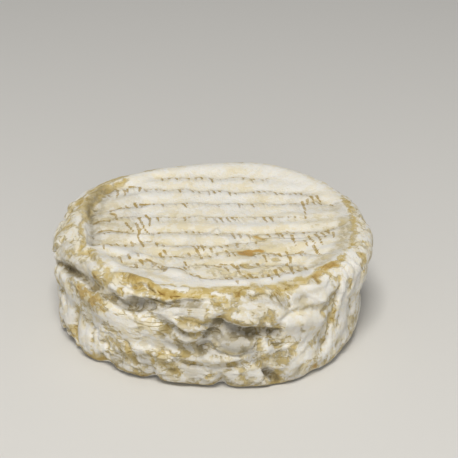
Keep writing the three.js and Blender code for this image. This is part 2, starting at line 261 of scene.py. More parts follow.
# Width and depth in mm, where a depth below 0 sinks in, then the form, then the way (angle, down).
# A sharp one is a V and a soft one is round. A lip swells below its line and sinks above it. Under a ledge
# the rind drops at once and comes out slowly below, and a tuck goes in slowly and comes out at once.
rindFolds = [
    # the groove under the rim on the left
    (1.8, -1.0, "soft", [(196, 13.4), (203.9, 11.8), (209.4, 10.2), (216.8, 9.6), (224.7, 9.9),
                         (232.6, 10.3), (239.7, 10.4), (244.3, 9.4), (248.7, 8.1), (253, 7.4)]),
    (1.2, -1.4, "ledge", [(200, 12.4), (209.4, 9.8), (216.8, 9.4), (224.7, 9.6), (232, 9.2), (240, 8.8),
                          (245, 8.4)]),
    # the line under the band
    (1.6, -1.2, "ledge", [(239, 7.4), (243.8, 7), (247.5, 6.6), (250.8, 6.1), (254.2, 5.9), (258, 5.1),
                          (261.6, 4.7), (265, 4.7), (268.6, 5.5), (272.1, 7)]),
    (0.5, -0.9, "ledge", [(250.9, 6.5), (254.3, 6.3), (258.3, 5.6), (262, 5.2)]),
    (0.5, -0.5, "ledge", [(257, 7.2), (262, 6.4), (266, 6.5), (269.4, 6.9), (272.2, 7.8)]),
    (0.8, 0.6, "soft", [(246, 9.6), (251, 8.6), (257, 8.2), (263, 8), (268, 8.4)]),
    # the rim on the left, the ochre ridge and the right
    (1.2, 0.8, "soft", [(208.4, 1.8), (214.3, 2), (219.5, 2.6), (223.8, 3.4), (226, 5)]),
    (0.6, -0.6, "sharp", [(209, 3.6), (214, 4), (219, 4.6), (222, 5)]),
    (1.2, 0.8, "soft", [(213.1, 5.6), (217.4, 6), (221, 6.4), (225.7, 7)]),
    (0.8, -0.5, "sharp", [(170.3, -2.3), (181.5, -1.2), (189.7, -0.2), (195.4, -0.6), (202.3, 1.8),
                          (204.3, 4.4), (208.7, 4.1), (209, 1.3)]),
    (2.2, -1.1, "soft", [(173, 12), (173.5, 8), (177.5, 5), (179.2, 2.4)]),
    (3.0, 0.7, "soft", [(186, 10), (188, 6)]),
    (2.4, 0.8, "soft", [(158, 7), (163, 6.4), (167, 5.6)]),
    (1.2, 0.9, "soft", [(227, 5.4), (229.3, 3.8), (232, 2.4), (235, 1.6), (238.5, 1.1), (242.4, 0.8),
                        (245.3, 1.3), (248.2, 2.3), (251.1, 3.3)]),
    (0.8, -1.2, "ledge", [(233, 4.4), (236, 3.8), (239.2, 3), (242.4, 2.4), (246, 3), (249, 4)]),
    (1.1, 0.8, "soft", [(240.6, 4.4), (243.8, 4.2), (247.8, 4.4), (251.7, 4.4)]),
    (0.9, 0.6, "soft", [(229, 7), (233.4, 6.1), (237, 5.6), (239.2, 5.6)]),
    (1.2, -1.0, "ledge", [(280, 3.4), (282, 3.4), (285.7, 3.6), (288.5, 4.6), (291.3, 5.8), (293.4, 7.7),
                          (295.3, 9.3), (298, 9)]),
    (1.6, -0.6, "soft", [(300, 8.5), (305, 9.5)]),
    # the left of the side
    (5.0, -2.0, "soft", [(196, 38), (204, 40), (210, 41)]),
    (0.9, -1.8, "sharp", [(228.8, 30), (229.4, 33), (230, 36), (230.4, 41)]),
    (0.8, -1.4, "sharp", [(247.6, 31), (247.8, 34), (248, 41)]),
    (0.9, -1.6, "sharp", [(272, 31.5), (272.8, 34), (273.6, 41)]),
    (0.9, -1.0, "sharp", [(212, 22.4), (209.7, 26.7), (210.3, 30.3), (211.7, 35)]),
    (0.6, -0.8, "sharp", [(222.1, 23.6), (222.2, 29.5), (222.4, 35)]),
    (0.6, -0.8, "sharp", [(224.9, 23), (224.7, 29.2), (224.3, 35.1)]),
    (0.6, -0.6, "sharp", [(218.1, 26.7), (219, 30.6), (219.7, 35)]),
    (0.6, -0.5, "sharp", [(226.9, 27.6), (226.9, 32.3), (224.7, 37)]),
    (0.4, -0.5, "sharp", [(225.9, 13.8), (228.4, 13.8), (231.2, 14.4)]),
    (0.6, -0.9, "ledge", [(240.7, 11.8), (242.7, 11.8), (244.3, 11.3)]),
    (0.7, -0.8, "sharp", [(229.6, 25.4), (229.4, 28.3), (229, 31.6)]),
    (0.7, -0.7, "sharp", [(229.9, 28.3), (232, 30.3), (234.3, 31.1)]),
    (0.8, -0.8, "sharp", [(237.3, 24), (239.6, 25.6), (241, 28), (241.5, 31)]),
    (0.7, 0.9, "lip", [(243.9, 24.8), (248.1, 24.2), (251.8, 25.4), (255.1, 28.3), (257.1, 31.1)]),
    (0.6, -0.7, "tuck", [(243.9, 26.1), (243.1, 29.8), (244.6, 31)]),
    (0.5, 0.5, "soft", [(248.2, 25.8), (248.5, 28.6), (248.7, 31.6)]),
    (0.5, -0.4, "sharp", [(245, 19.5), (247.4, 21.4), (250, 22)]),
    # the middle of the front: a smooth swell, and under it folds that run together in a valley
    (1.8, 0.6, "soft", [(253.6, 8.8), (258.2, 9.4), (262.3, 9.7), (266.4, 10.2)]),
    (1.3, -0.7, "soft", [(252.4, 11.3), (254.2, 13.2), (256.1, 14.7), (257.4, 15.9)]),
    (0.7, -1.0, "ledge", [(257, 10.4), (259.2, 11.4), (261.9, 12), (264.5, 12.9), (267.1, 13.9),
                          (269.7, 14.9), (271.1, 14.2)]),
    (0.6, 0.5, "soft", [(257.4, 13.6), (260.5, 14), (263.5, 14.5), (267, 15.3), (270, 15.1)]),
    (0.7, -1.0, "ledge", [(255.4, 15.4), (257.4, 16), (260.1, 16.8), (262.3, 16.7), (264.7, 17.1),
                          (267.7, 16.6), (270.1, 15.6)]),
    (1.0, 0.6, "soft", [(259, 18.6), (262.5, 18.8), (265.5, 18.2), (268, 17.4)]),
    (0.8, -1.1, "ledge", [(255.5, 19.6), (258.9, 20.8), (262.2, 21.1), (265.6, 19.9), (268.4, 18.4),
                          (270.4, 16.2)]),
    (0.6, -0.6, "sharp", [(253.5, 16.1), (254.8, 17.7), (255.8, 19.5), (257.5, 20.1)]),
    (0.5, -0.6, "sharp", [(256.6, 22.4), (258.3, 22.7), (259.9, 24), (261.3, 23.6)]),
    (0.9, -1.1, "ledge", [(246.6, 22.7), (249, 23.6), (251.6, 24.5), (254.5, 25.4), (258, 25.8),
                          (261.4, 25.1), (264.4, 24.2), (267.6, 21.4)]),
    (1.7, -0.8, "soft", [(272, 14), (270.6, 17), (268.6, 20), (266.6, 23)]),
    (0.9, 0.5, "soft", [(258, 27), (262, 27), (267.4, 26.6), (272.4, 26.4), (277.7, 26.4)]),
    (0.8, -1.1, "ledge", [(257.2, 28), (262.7, 28.7), (267.3, 27.8), (270.4, 28.7), (274.6, 28.4),
                          (278.5, 28.8)]),
    (1.1, -1.3, "ledge", [(271, 12), (273.2, 13.8), (275.2, 15.1), (278, 16.6), (280.8, 17.7),
                          (284.2, 18)]),
    (1.0, -1.0, "ledge", [(284, 17.8), (285.2, 17.6), (287.6, 17), (289.7, 17.9), (293, 18.2)]),
    (1.6, 0.6, "soft", [(269, 11.4), (271.6, 12.2), (273.6, 13.2)]),
    (3.6, -0.7, "soft", [(276, 9), (280, 10.6), (284, 11.4)]),
    (2.4, 0.6, "soft", [(216, 14.6), (222, 14), (227, 14.4)]),
    (0.8, -1.0, "ledge", [(269.7, 23), (272.4, 23.9), (275.7, 24.6), (278.4, 25), (281, 23.6)]),
    (0.7, 0.7, "soft", [(282.6, 10.6), (283.6, 12.6), (285, 16.4)]),
    (0.5, -1.1, "sharp", [(283.5, 10.4), (284.9, 12.4), (286.5, 16.9)]),
    (0.6, -0.8, "sharp", [(288, 9.7), (287, 12), (286.2, 14.7), (285.8, 18)]),
    (0.6, -0.6, "sharp", [(289, 11.8), (290, 14.4), (290.5, 17.4)]),
    (0.9, -1.4, "ledge", [(288.8, 19.4), (289.4, 21.6), (291.3, 23.4), (294.3, 23.6)]),
    (1.3, -0.7, "tuck", [(291.8, 17.5), (292.6, 15.4), (293.9, 13.4), (296.1, 12.5), (299.1, 12.5),
                         (302.9, 13.2), (307.3, 14.6), (311, 16.5)]),
    (0.6, -0.4, "sharp", [(298, 14.9), (300, 19.2), (300.6, 22.7), (298.8, 24.5), (296.9, 26.1),
                          (296, 28.3)]),
    (1.4, -1.8, "tuck", [(286.6, 30.8), (287.2, 32.6), (288.6, 35), (290.6, 36.8), (292.6, 37.2)]),
    (0.7, -0.8, "sharp", [(279.3, 30), (280, 32.3), (280.7, 34.5)]),
    (0.6, -0.6, "sharp", [(285.2, 19.5), (284.8, 22), (284.9, 25.8), (285.8, 29.8)]),
    (0.6, -0.8, "sharp", [(301.1, 6.2), (300.7, 8), (299, 8.9)]),
    (0.6, -0.7, "sharp", [(266.3, 30), (267.7, 31.6), (269.4, 33.5)]),
    # the right
    (6.0, -1.0, "soft", [(339, 15), (345, 22), (345, 29)]),
    (0.7, -1.5, "tuck", [(316.6, 7.7), (315.9, 10.1), (315.7, 12.8), (314.9, 15.6), (314.1, 18.9),
                         (313.7, 22.4), (312.7, 25.1), (311.5, 28.3), (310.4, 31)]),
    (1.4, 0.6, "soft", [(318.5, 9), (318.4, 13), (317.4, 18), (316, 23)]),
    (0.8, -0.7, "sharp", [(318.5, 15.1), (319.6, 18.9), (319.2, 22), (317.5, 26)]),
    (0.8, 0.3, "lip", [(323.8, 2.6), (324.9, 5), (325.7, 7.7), (324.9, 10.3), (322.5, 11.8),
                       (318.6, 11.9)]),
    (0.8, 0.25, "lip", [(328.3, 2.9), (328.9, 6.1), (331.6, 9.8), (331.4, 13.4), (329.6, 15.6)]),
    (0.9, -0.8, "tuck", [(321.5, 14.9), (326, 19), (328.5, 24), (327, 29)]),
    (0.9, -0.7, "tuck", [(331, 18), (332.7, 24.8), (330.7, 30)]),
    (0.6, -0.6, "sharp", [(314.2, 5.4), (311.2, 7.5), (308.3, 8.7)]),
    # the steep inner side of the rim round the left of the top
    (2.4, -1.2, "ledge", [(202, -0.4), (197.5, -2), (192.6, -3.2), (185, -3.4), (178.8, -3.3),
                          (169.8, -2.8), (160.8, -2.2), (151, -1.8), (142, -2)]),
    (0.9, -0.9, "sharp", [(203, -1.4), (196.5, -3.6), (190, -4.6), (183.7, -4.8), (172.8, -4.2),
                          (165.2, -3.6), (157.2, -3)]),
]


# Distance in mm of every vertex from a drawn line, on which side of the line it lies, and how far it is
# from the line's nearer end.
def fromLine(line, across, along):
    nearest, side, passed = np.full(len(across), 1e3), np.zeros(len(across)), np.zeros(len(across))
    lengths = [math.dist(*ends) for ends in zip(line, line[1:])]
    done = 0
    for (startX, startY), (endX, endY), length in zip(line, line[1:], lengths):
        runX, runY = endX - startX, endY - startY
        share = np.clip(((across - startX) * runX + (along - startY) * runY) / length ** 2, 0, 1)
        gapX, gapY = across - startX - share * runX, along - startY - share * runY
        gap = np.hypot(gapX, gapY)
        closer = gap < nearest
        side = np.where(closer, np.sign(runX * gapY - runY * gapX), side)
        passed = np.where(closer, done + share * length, passed)
        nearest = np.minimum(gap, nearest)
        done += length
    return nearest, side, np.minimum(passed, done - passed)


# The same for a line drawn on the flat rind, round the shorter way.
def fromPath(path, wiggle):
    turn = np.round((path[0][0] - angle) / 360) * 360
    around = np.radians(angle + turn) * wheel["flatLayout"] + wiggle[:, 0]
    flat = [(math.radians(a) * wheel["flatLayout"], d) for a, d in path]
    return fromLine(flat, around, down + wiggle[:, 1])


def foldHeight(width, depth, form, path):
    gap, side, end = fromPath(path, wiggle)
    share = gap / width
    full = folding["endShare"] + (1 - folding["endShare"]) * smooth(end, 0, folding["endFade"])
    depth = depth * full * foldVariety
    if form == "sharp":
        return depth * np.exp(-share * folding["sharpFall"])
    if form == "lip":
        return depth * side * share * np.exp(1 - share)
    if form in ("ledge", "tuck"):
        gentle = side > 0 if form == "ledge" else side < 0
        slow, quick = np.exp(-share ** folding["gentlePower"]), np.exp(-(share * folding["steepness"]) ** 2)
        return depth * np.where(gentle, slow, quick)
    return depth * np.exp(-share ** 2)


noiseStride = (7.3, 3.1, 5.7)


# Soft noise that changes over the given mm. Each seed looks at another part of it.
def noiseAt(spots, size, seed):
    shift = Vector([seed * stride for stride in noiseStride])
    return np.array([noise.noise(Vector(s) + shift) for s in spots / size])


# a pair of noises to bend drawn lines with
def bends(size, seed):
    return np.stack([noiseAt(spots, size, seed), noiseAt(spots, size, seed + 1)], axis=1)


# Presses a height given in mm into a piece along its normals, with a painted group and a Displace modifier.
def press(piece, name, heights):
    leastWeight = 0.002
    deepest = float(np.abs(heights).max())
    for sign, part in ((1, "Out"), (-1, "In")):
        group = piece.vertex_groups.new(name=name + part)
        weights = np.clip(sign * heights / deepest, 0, 1)
        for i in np.nonzero(weights > leastWeight)[0]:
            group.add([int(i)], float(weights[i]), "REPLACE")
        bpy.ops.object.modifier_add(type="DISPLACE")
        displace = piece.modifiers[-1]
        displace.vertex_group = group.name
        displace.mid_level = 0
        displace.strength = sign * deepest * mm
        bpy.ops.object.modifier_apply(modifier=displace.name)
        piece.vertex_groups.clear()


wiggle = bends(folding["wiggleSize"], 1) * folding["wiggle"]
onSide = smooth(down, *folding["side"]) * (1 - smooth(down, *folding["foot"]))
onTop = 1 - smooth(down, *folding["top"])
foldVariety = 1 + folding["variety"] * noiseAt(spots, folding["varietySize"], 16)

# Folds on the far side, by a rule: each starts a step further round. Angles in degrees, the rest in mm.
farFolds = {
    "seed": 11, "count": 80, "from": -4, "to": 198, "stray": (-3, 3),
    "width": (0.6, 2.2), "depth": (-2.4, -0.8), "lipShare": 0.25,
    "start": (5, 34), "slope": (-1.2, 1.2), "steps": (2, 3, 4, 5), "around": (1.5, 4), "fall": (0.5, 4),
    "highest": 4, "lowest": 36,
    "forms": ("sharp", "ledge", "ledge", "tuck", "soft", "lip"),
}
draw = random.Random(farFolds["seed"])


def farFold(at):
    path = [(at + draw.uniform(*farFolds["stray"]), draw.uniform(*farFolds["start"]))]
    slope = draw.uniform(*farFolds["slope"])
    for k in range(draw.choice(farFolds["steps"])):
        around = path[-1][0] + draw.uniform(*farFolds["around"])
        fallen = path[-1][1] + slope * draw.uniform(*farFolds["fall"])
        path.append((around, min(max(fallen, farFolds["highest"]), farFolds["lowest"])))
    form = draw.choice(farFolds["forms"])
    depth = draw.uniform(*farFolds["depth"])
    if form == "lip":
        depth *= -farFolds["lipShare"]
    return draw.uniform(*farFolds["width"]), depth, form, path


for at in np.linspace(farFolds["from"], farFolds["to"], farFolds["count"], endpoint=False):
    rindFolds.append(farFold(at))

folds = sum(foldHeight(*fold) for fold in rindFolds)
print("folds are drawn")

surface = {
    "wideWrinkle": 6.2, "wideHeight": 0.6,       # mm from one wavy band to the next, and its height
    "fineWrinkle": 2.8, "fineHeight": 0.36,
    "lipAt": 0.76, "bandGain": 1.2,              # where in a band its lip is, as a share
    "wander": [(1.3, 11), (0.5, 4)],             # how far the bands wander, in bands, and over how many mm
    "tilt": 4, "tiltFrom": 1,                    # mm and radians, the level bands rise and fall once round
    "gapSize": 8, "gaps": (-0.25, 0.3),          # mm, and the noise at which the bands end and are full
    "levelAt": 262, "level": (0.9, 0.62),        # degrees, and cosines between which they turn upright
    "turnSize": 14, "turnShare": 0.35,
    "uprightLoss": 0.4,                          # upright bands are this much lower
    "lumpSize": 8.0, "lumpHeight": 0.8, "lumpFlatness": 1.5, "halfLumps": 0.4,
    "curdSize": 1.3, "curdHeight": 0.12, "curdsOnTop": 0.4,
    "streakLength": 7, "streakWidth": 1.8, "streakSeed": 3.0,
    "roughFrom": (3, 9), "roughTo": (36, 39),    # mm down
    "calmShare": 0.9, "calmEdge": (0.6, 1.3), "restOfCrumple": 0.12,
    "farSide": (-0.25, 0.1), "farGain": 0.7,     # sines of the angle, and how much more relief it has
    # smooth places on the side: (angle, down) and radius in mm
    "calm": [(237, 17, 6), (219, 20, 3), (249, 16, 3), (262, 9, 3), (277, 20.5, 4), (286, 8, 5),
             (297, 19, 6), (304, 14, 4), (264, 31.6, 3), (272, 31, 3), (280, 35, 3), (322, 13, 4),
             (326, 7, 4), (305, 3, 4), (335, 5, 5), (342, 11, 5), (333, 15, 4), (350, 4, 4)],
}


# Wavy bands that rise slowly and drop at once: 0 after the drop and 1 on the lip.
def bands(across, size, wander):
    share = (across / size + wander) % 1
    return share * (1 - smooth(share, surface["lipAt"], 1)) * surface["bandGain"]


def wrinkles(size, seed):
    (wide, wideSize), (fine, fineSize) = surface["wander"]
    wander = wide * noiseAt(spots, wideSize, seed) + fine * noiseAt(spots, fineSize, seed + 1)
    level = bands(down + surface["tilt"] * np.sin(np.radians(angle) + surface["tiltFrom"]), size, wander)
    upright = bands(angle / 360 * round(math.tau * wheel["flatLayout"] / size), 1, wander)
    there = smooth(noiseAt(spots, surface["gapSize"], seed + 2), *surface["gaps"])
    both = level * (1 - uprightShare) + upright * uprightShare - 0.5
    return both * there * (1 - surface["uprightLoss"] * uprightShare)


# how calm the rind is round one smooth place
def calmRound(placeAngle, placeDown, radius):
    gap = fromPath([(placeAngle, placeDown), (placeAngle + 0.1, placeDown)], wiggle)[0]
    inner, outer = surface["calmEdge"]
    return 1 - smooth(gap, radius * inner, radius * outer)


turn = (np.cos(np.radians(angle - surface["levelAt"]))
        + surface["turnShare"] * noiseAt(spots, surface["turnSize"], 8))
uprightShare = smooth(turn, *surface["level"])
lumps = (noiseAt(spots * (1, 1, surface["lumpFlatness"]), surface["lumpSize"], 6)
         + surface["halfLumps"] * noiseAt(spots, surface["lumpSize"] / 2, 7))
curds = noiseAt(spots, surface["curdSize"], 11)
around = np.radians(angle) * wheel["flatLayout"]
seeds = np.full(len(down), surface["streakSeed"])
flatPlaces = np.stack([around / surface["streakLength"], down / surface["streakWidth"], seeds], axis=1)
streaks = noiseAt(flatPlaces, 1, 9)
calm = np.max([calmRound(*place) for place in surface["calm"]], axis=0)
rough = (smooth(down, *surface["roughFrom"]) * (1 - smooth(down, *surface["roughTo"]))
         * (1 - surface["calmShare"] * calm))
crumple = (surface["wideHeight"] * wrinkles(surface["wideWrinkle"], 20)
           + surface["fineHeight"] * wrinkles(surface["fineWrinkle"], 30)
           + surface["lumpHeight"] * lumps)
farSide = smooth(np.sin(np.radians(angle)), *surface["farSide"])
crumpleShare = rough + surface["restOfCrumple"] * (onSide - rough)
relief = (folds + crumple * (1 + surface["farGain"] * farSide) * crumpleShare
          + surface["curdHeight"] * curds * (onSide + surface["curdsOnTop"] * onTop))


mat = {
    "rowWidth": 0.9, "rowDepth": 0.1,            # mm, the line that a thread leaves
    "sagWidth": 3.0, "sagDepth": 0.62,           # mm, the rind sinks towards it between soft pillows
    "sagVariety": 0.9, "sagVarietySize": 9,
    "threadGap": 2.4, "markWidth": 0.85, "markLength": (1.0, 5.6), "lean": 0.22,
    "taper": (1.15, 0.5),                        # a mark's width at its start, less how much at its end
    "markDepth": 0.3, "gatherDepth": 0.5,
    "wayWiggle": 0.5, "rowWander": 1.2, "rowWanderSize": 6,
    "rowStart": (-1, 2), "rowEnd": (-2, 1),      # mm from a row's ends, over which its marks come and go
    "clear": (0.3, 0.9),                         # mm from the line of a row, over which the marks begin
    "farthest": 20.0, "rowStride": 90,           # mm, the second keeps the threads of one row from another's
    # soft pillows and dips: width and height in mm, then the way (x, y) in mm
    "pillows": [
        (3.4, 1.0, [(-35, -18), (-31, -18.5), (-26, -20.5), (-22, -24)]),
        (2.4, 0.6, [(-13, -31.5), (-5, -37.5), (1, -40), (10, -41), (18, -40), (25, -38)]),
        (2.4, 0.5, [(-36, -6), (-30, -5), (-24, -5)]), (2.2, 0.4, [(-30, 24), (-24, 26)]),
        (2.4, -0.6, [(-27, -12), (-21, -15), (-17, -20), (-14, -24)]),
        (2, 0.4, [(20, -12), (28, -12), (35, -13)]),
        (1.6, -0.4, [(27, -17), (33, -20), (38, -21)]), (3.2, 0.5, [(27, 9), (33, 10), (38, 9)]),
        (2.2, 0.4, [(26, -23), (32, -24), (36, -24)]),
    ],
    # the rows from the back to the front, as places (x, y) in mm
    "rows": [
        [(-20, 38.5), (-6, 39.5), (10, 39), (22, 37)],
        [(-36, 28.5), (-32, 31.6), (-25, 31.5), (0, 30), (20, 28.5), (32, 26), (35, 24)],
        [(-39, 11.8), (-35, 15), (-32, 17.6), (-28, 18.6), (-22, 20.5), (0, 20.5), (20, 19.5), (31, 19.1),
         (36, 19), (40, 15)],
        [(-39, 5), (-36, 6.5), (-33, 11), (-20, 10), (0, 9.5), (20, 9), (30, 8)],
        [(-38, -1.9), (-34, -0.8), (-28.4, -1), (-10, 0), (8, -2.6), (18, -2.4), (26, -1.7), (33, -2.6),
         (38.6, -2.3), (42, -0.5)],
        [(-37, -12), (-34, -10.2), (-30, -9.8), (-20, -8.4), (-12, -10.5), (-5, -11.5), (0, -11.4),
         (8, -9.5), (16, -8.3)],
        [(-35, -23.5), (-31, -21.8), (-24, -19), (-17, -17), (-10, -19.4), (0, -17), (9, -16), (16, -17.5),
         (22, -18.2), (28, -17), (34, -20)],
        [(-29, -28), (-22, -25), (-17, -25.5), (-11, -27.6), (-4, -25.2), (6, -25.5), (15, -24.8),
         (23, -25.7), (30, -29)],
        [(-8, -31), (-4, -35), (1, -35), (5, -34.4), (12, -34.5), (16, -34), (22, -32.4), (27, -31)],
    ],
    # marks that stand out: the way (x, y) in mm
    "marks": [
        [(-33.5, 29.2), (-33, 26.2), (-33.2, 24)], [(-31.4, 29.5), (-30.6, 27.2), (-30.4, 24.1)],
        [(-29.1, 32), (-25.5, 31.6)], [(-25.4, 30.8), (-25.7, 27.8)], [(-36.1, 25.2), (-35.7, 23.8)],
        [(-34.8, 15), (-32.8, 16.3), (-31.1, 17.6)], [(-29.8, 18.5), (-28.6, 15.7)],
        [(-26.8, 20.5), (-25.8, 15.8)], [(-25, 20.2), (-21.5, 20.2)],
        [(-34.9, 11.8), (-33.2, 11.6), (-32.2, 6.5)],
        [(-39.5, 4), (-38.2, 5.6), (-36.6, 6.5), (-35.2, 6.1)],
        [(-29.1, 4.8), (-27.8, 1.4), (-26.4, -0.4)], [(-26, 5), (-24.8, 0.7), (-24, -1.9)],
        [(-25.2, 9), (-24, 5.6), (-22.8, 0.8), (-20.6, -2.4)],
        [(-22.6, 11.7), (-21.4, 7.4), (-20.8, 2.3)],
        [(-38, -1.9), (-34.1, -0.8), (-30.4, -1.6), (-28.4, -1)], [(-28.7, -1), (-27.3, -2.6)],
        [(-24.4, 0.7), (-24.4, -7.8)], [(-26.7, -8.8), (-25.6, -9.4)], [(-23.7, -8.3), (-23, -9.4)],
        [(-21.4, -8.4), (-20.4, -9)], [(-36.9, -12.3), (-35.8, -14.7), (-35.1, -19.8)],
        [(-34.4, -10.6), (-33.1, -11.6), (-32.6, -14)], [(-31.2, -10.3), (-30, -13.2)],
        [(-34.1, -23.4), (-32.9, -23.6)], [(-30.1, -22.7), (-28.5, -26.8)],
        [(-25.8, -30.1), (-24.6, -30.4)], [(-24.4, -27.9), (-23.6, -30.8)],
        [(-22.9, -24.8), (-21.8, -28.8)], [(-21, -24.4), (-17.8, -25.5), (-18.9, -29.8)],
        [(-17.1, -27.9), (-15.7, -31.4)],
        [(-15, -32), (-14.2, -27.3), (-12.3, -27), (-10.4, -28.4), (-8.1, -31.5)],
        [(-17.1, -16.9), (-16.4, -19.3)], [(-15.5, -15.9), (-14.8, -17.9)],
        [(-11.9, -19.6), (-8.3, -20.2)], [(-8.8, -24.4), (-7.9, -26.6)], [(-7.7, -17.4), (-6.7, -19)],
        [(-6.1, -12.4), (-4.8, -16.8), (-3.8, -19)], [(-3.5, -11.5), (-2.5, -16.3)],
        [(-0.5, -13.8), (0.1, -16.3)], [(-6.8, -33.1), (-5.8, -35.5), (-4.9, -34.4)],
        [(-4.6, -33.8), (-3.6, -35.5), (-2.1, -36.7), (1.4, -35.6)], [(2.6, -37.3), (3.9, -38.1)],
        [(4.5, -35.5), (5.4, -39.6)], [(7.6, -41.2), (8.1, -43.5)], [(6.1, -35.5), (6.4, -38.3)],
        [(1.1, -26.1), (2.4, -27.6)], [(2.7, -25), (4.6, -25.5)], [(4.3, -27.6), (5.2, -31.1)],
        [(6.2, -25.5), (7.8, -28.1), (9, -33.2), (10.5, -34.3)],
        [(4.4, -15.6), (5.3, -17.9), (5.6, -20.2)], [(8.8, -25.5), (10, -27.5), (11.3, -29.1)],
        [(12.3, -26.4), (13.2, -27.5)], [(14.5, -24.9), (15.4, -27.7)], [(16.6, -19.6), (17.4, -24.3)],
        [(19, -17.9), (20.9, -18.4)], [(21.9, -18.4), (22.4, -21.8)], [(24.2, -16.8), (25.3, -20.9)],
        [(27.4, -17.4), (29.4, -16.8), (30.5, -20.1)], [(23.8, -25.7), (25.1, -30.5), (25.6, -38.7)],
        [(24.9, -22.9), (25.1, -25.7)], [(27, -32), (27.5, -33.8)], [(29.6, -30.1), (30.2, -36)],
        [(31.4, -31.7), (32.2, -33.4)], [(21.1, -29.1), (21.9, -31.3), (23.1, -32.7)],
        [(19.8, -30.6), (20.6, -33.6), (21, -39.5)], [(17.8, -32.9), (18.5, -37.7), (18.7, -40.8)],
        [(15.9, -33.5), (16.6, -38.3)], [(13.7, -34.2), (14.4, -38.9)], [(11.5, -33.1), (13, -35.3)],
        [(18.5, -3.6), (19.3, -7.2)], [(22.8, -3), (23.3, -6.7), (23.9, -8.3)],
        [(25.3, -1.4), (26.2, -2)], [(26.3, -6.1), (26.9, -9.3), (27.3, -14.2)],
        [(30.1, -10.7), (31.2, -14.6)], [(31.9, -7.4), (32.7, -10.5), (33.5, -13.6)],
        [(34.3, -5.9), (35.4, -9.1), (36.1, -14.3)], [(36.4, -4.9), (37.7, -9.1)],
        [(38.6, -2.3), (39.7, -4.2)], [(40.3, -6), (40.3, -10.3)],
        [(33.1, -14.6), (34.1, -19), (35.6, -21.4)], [(31.4, 19.1), (32, 11.9), (32, 5.8)],
        [(33.2, 19.7), (33.3, 16.3)], [(34.3, 21.8), (35.5, 19.1)], [(36.4, 21.4), (37.5, 17.7)],
        [(40.8, 14.5), (41.9, 11.7)],
    ],
}


planX, planY = (spots[:, :2] + wiggle * mat["wayWiggle"]).T
rowY = planY + mat["rowWander"] * noiseAt(spots, mat["rowWanderSize"], 17)
rowGap = np.min([fromLine(row, planX, rowY)[0] for row in mat["rows"]], axis=0)
pillows = sum(height * np.exp(-(fromLine(way, planX, planY)[0] / width) ** 2)
              for width, height, way in mat["pillows"])

# Every vertex between two rows gets how far it lies in front of the row behind it, and its place along it.
rowBelow = np.full(len(spots), mat["farthest"])
rowAlong, rowHere = np.zeros(len(spots)), np.zeros(len(spots))
for i, row in enumerate(mat["rows"]):
    below = np.interp(planX, [x for x, y in row], [y for x, y in row]) - rowY
    behind = (below > 0) & (below < rowBelow)
    rowBelow = np.where(behind, below, rowBelow)
    rowAlong = np.where(behind, planX - mat["lean"] * below + mat["rowStride"] * (i + 1), rowAlong)
    begun = smooth(planX - row[0][0], *mat["rowStart"])
    ended = smooth(planX - row[-1][0], *mat["rowEnd"])
    rowHere = np.where(behind, begun * (1 - ended), rowHere)
rowHere *= onTop * smooth(rowGap, *mat["clear"])


# a mark is widest at its thread end
def markShare(way):
    gap = fromLine(way, planX, planY)[0]
    (startX, startY), (endX, endY) = way[0], way[-1]
    along = (planX - startX) * (endX - startX) + (planY - startY) * (endY - startY)
    share = np.clip(along / math.dist(way[0], way[-1]) ** 2, 0, 1)
    widest, taper = mat["taper"]
    return np.clip(1 - gap / (mat["markWidth"] * (widest - taper * share)), 0, 1)


loneMarks = np.max([markShare(way) for way in mat["marks"]], axis=0) * onTop
rowLines = mat["rowDepth"] * np.exp(-(rowGap / mat["rowWidth"]) ** 2)
sagDepth = mat["sagDepth"] * (1 + mat["sagVariety"] * noiseAt(spots, mat["sagVarietySize"], 18))
sag = sagDepth * np.exp(-(rowGap / mat["sagWidth"]) ** 2)
relief += (pillows - rowLines - sag - mat["markDepth"] * loneMarks) * onTop
press(cheese, "relief", relief)
print("relief is pressed in")


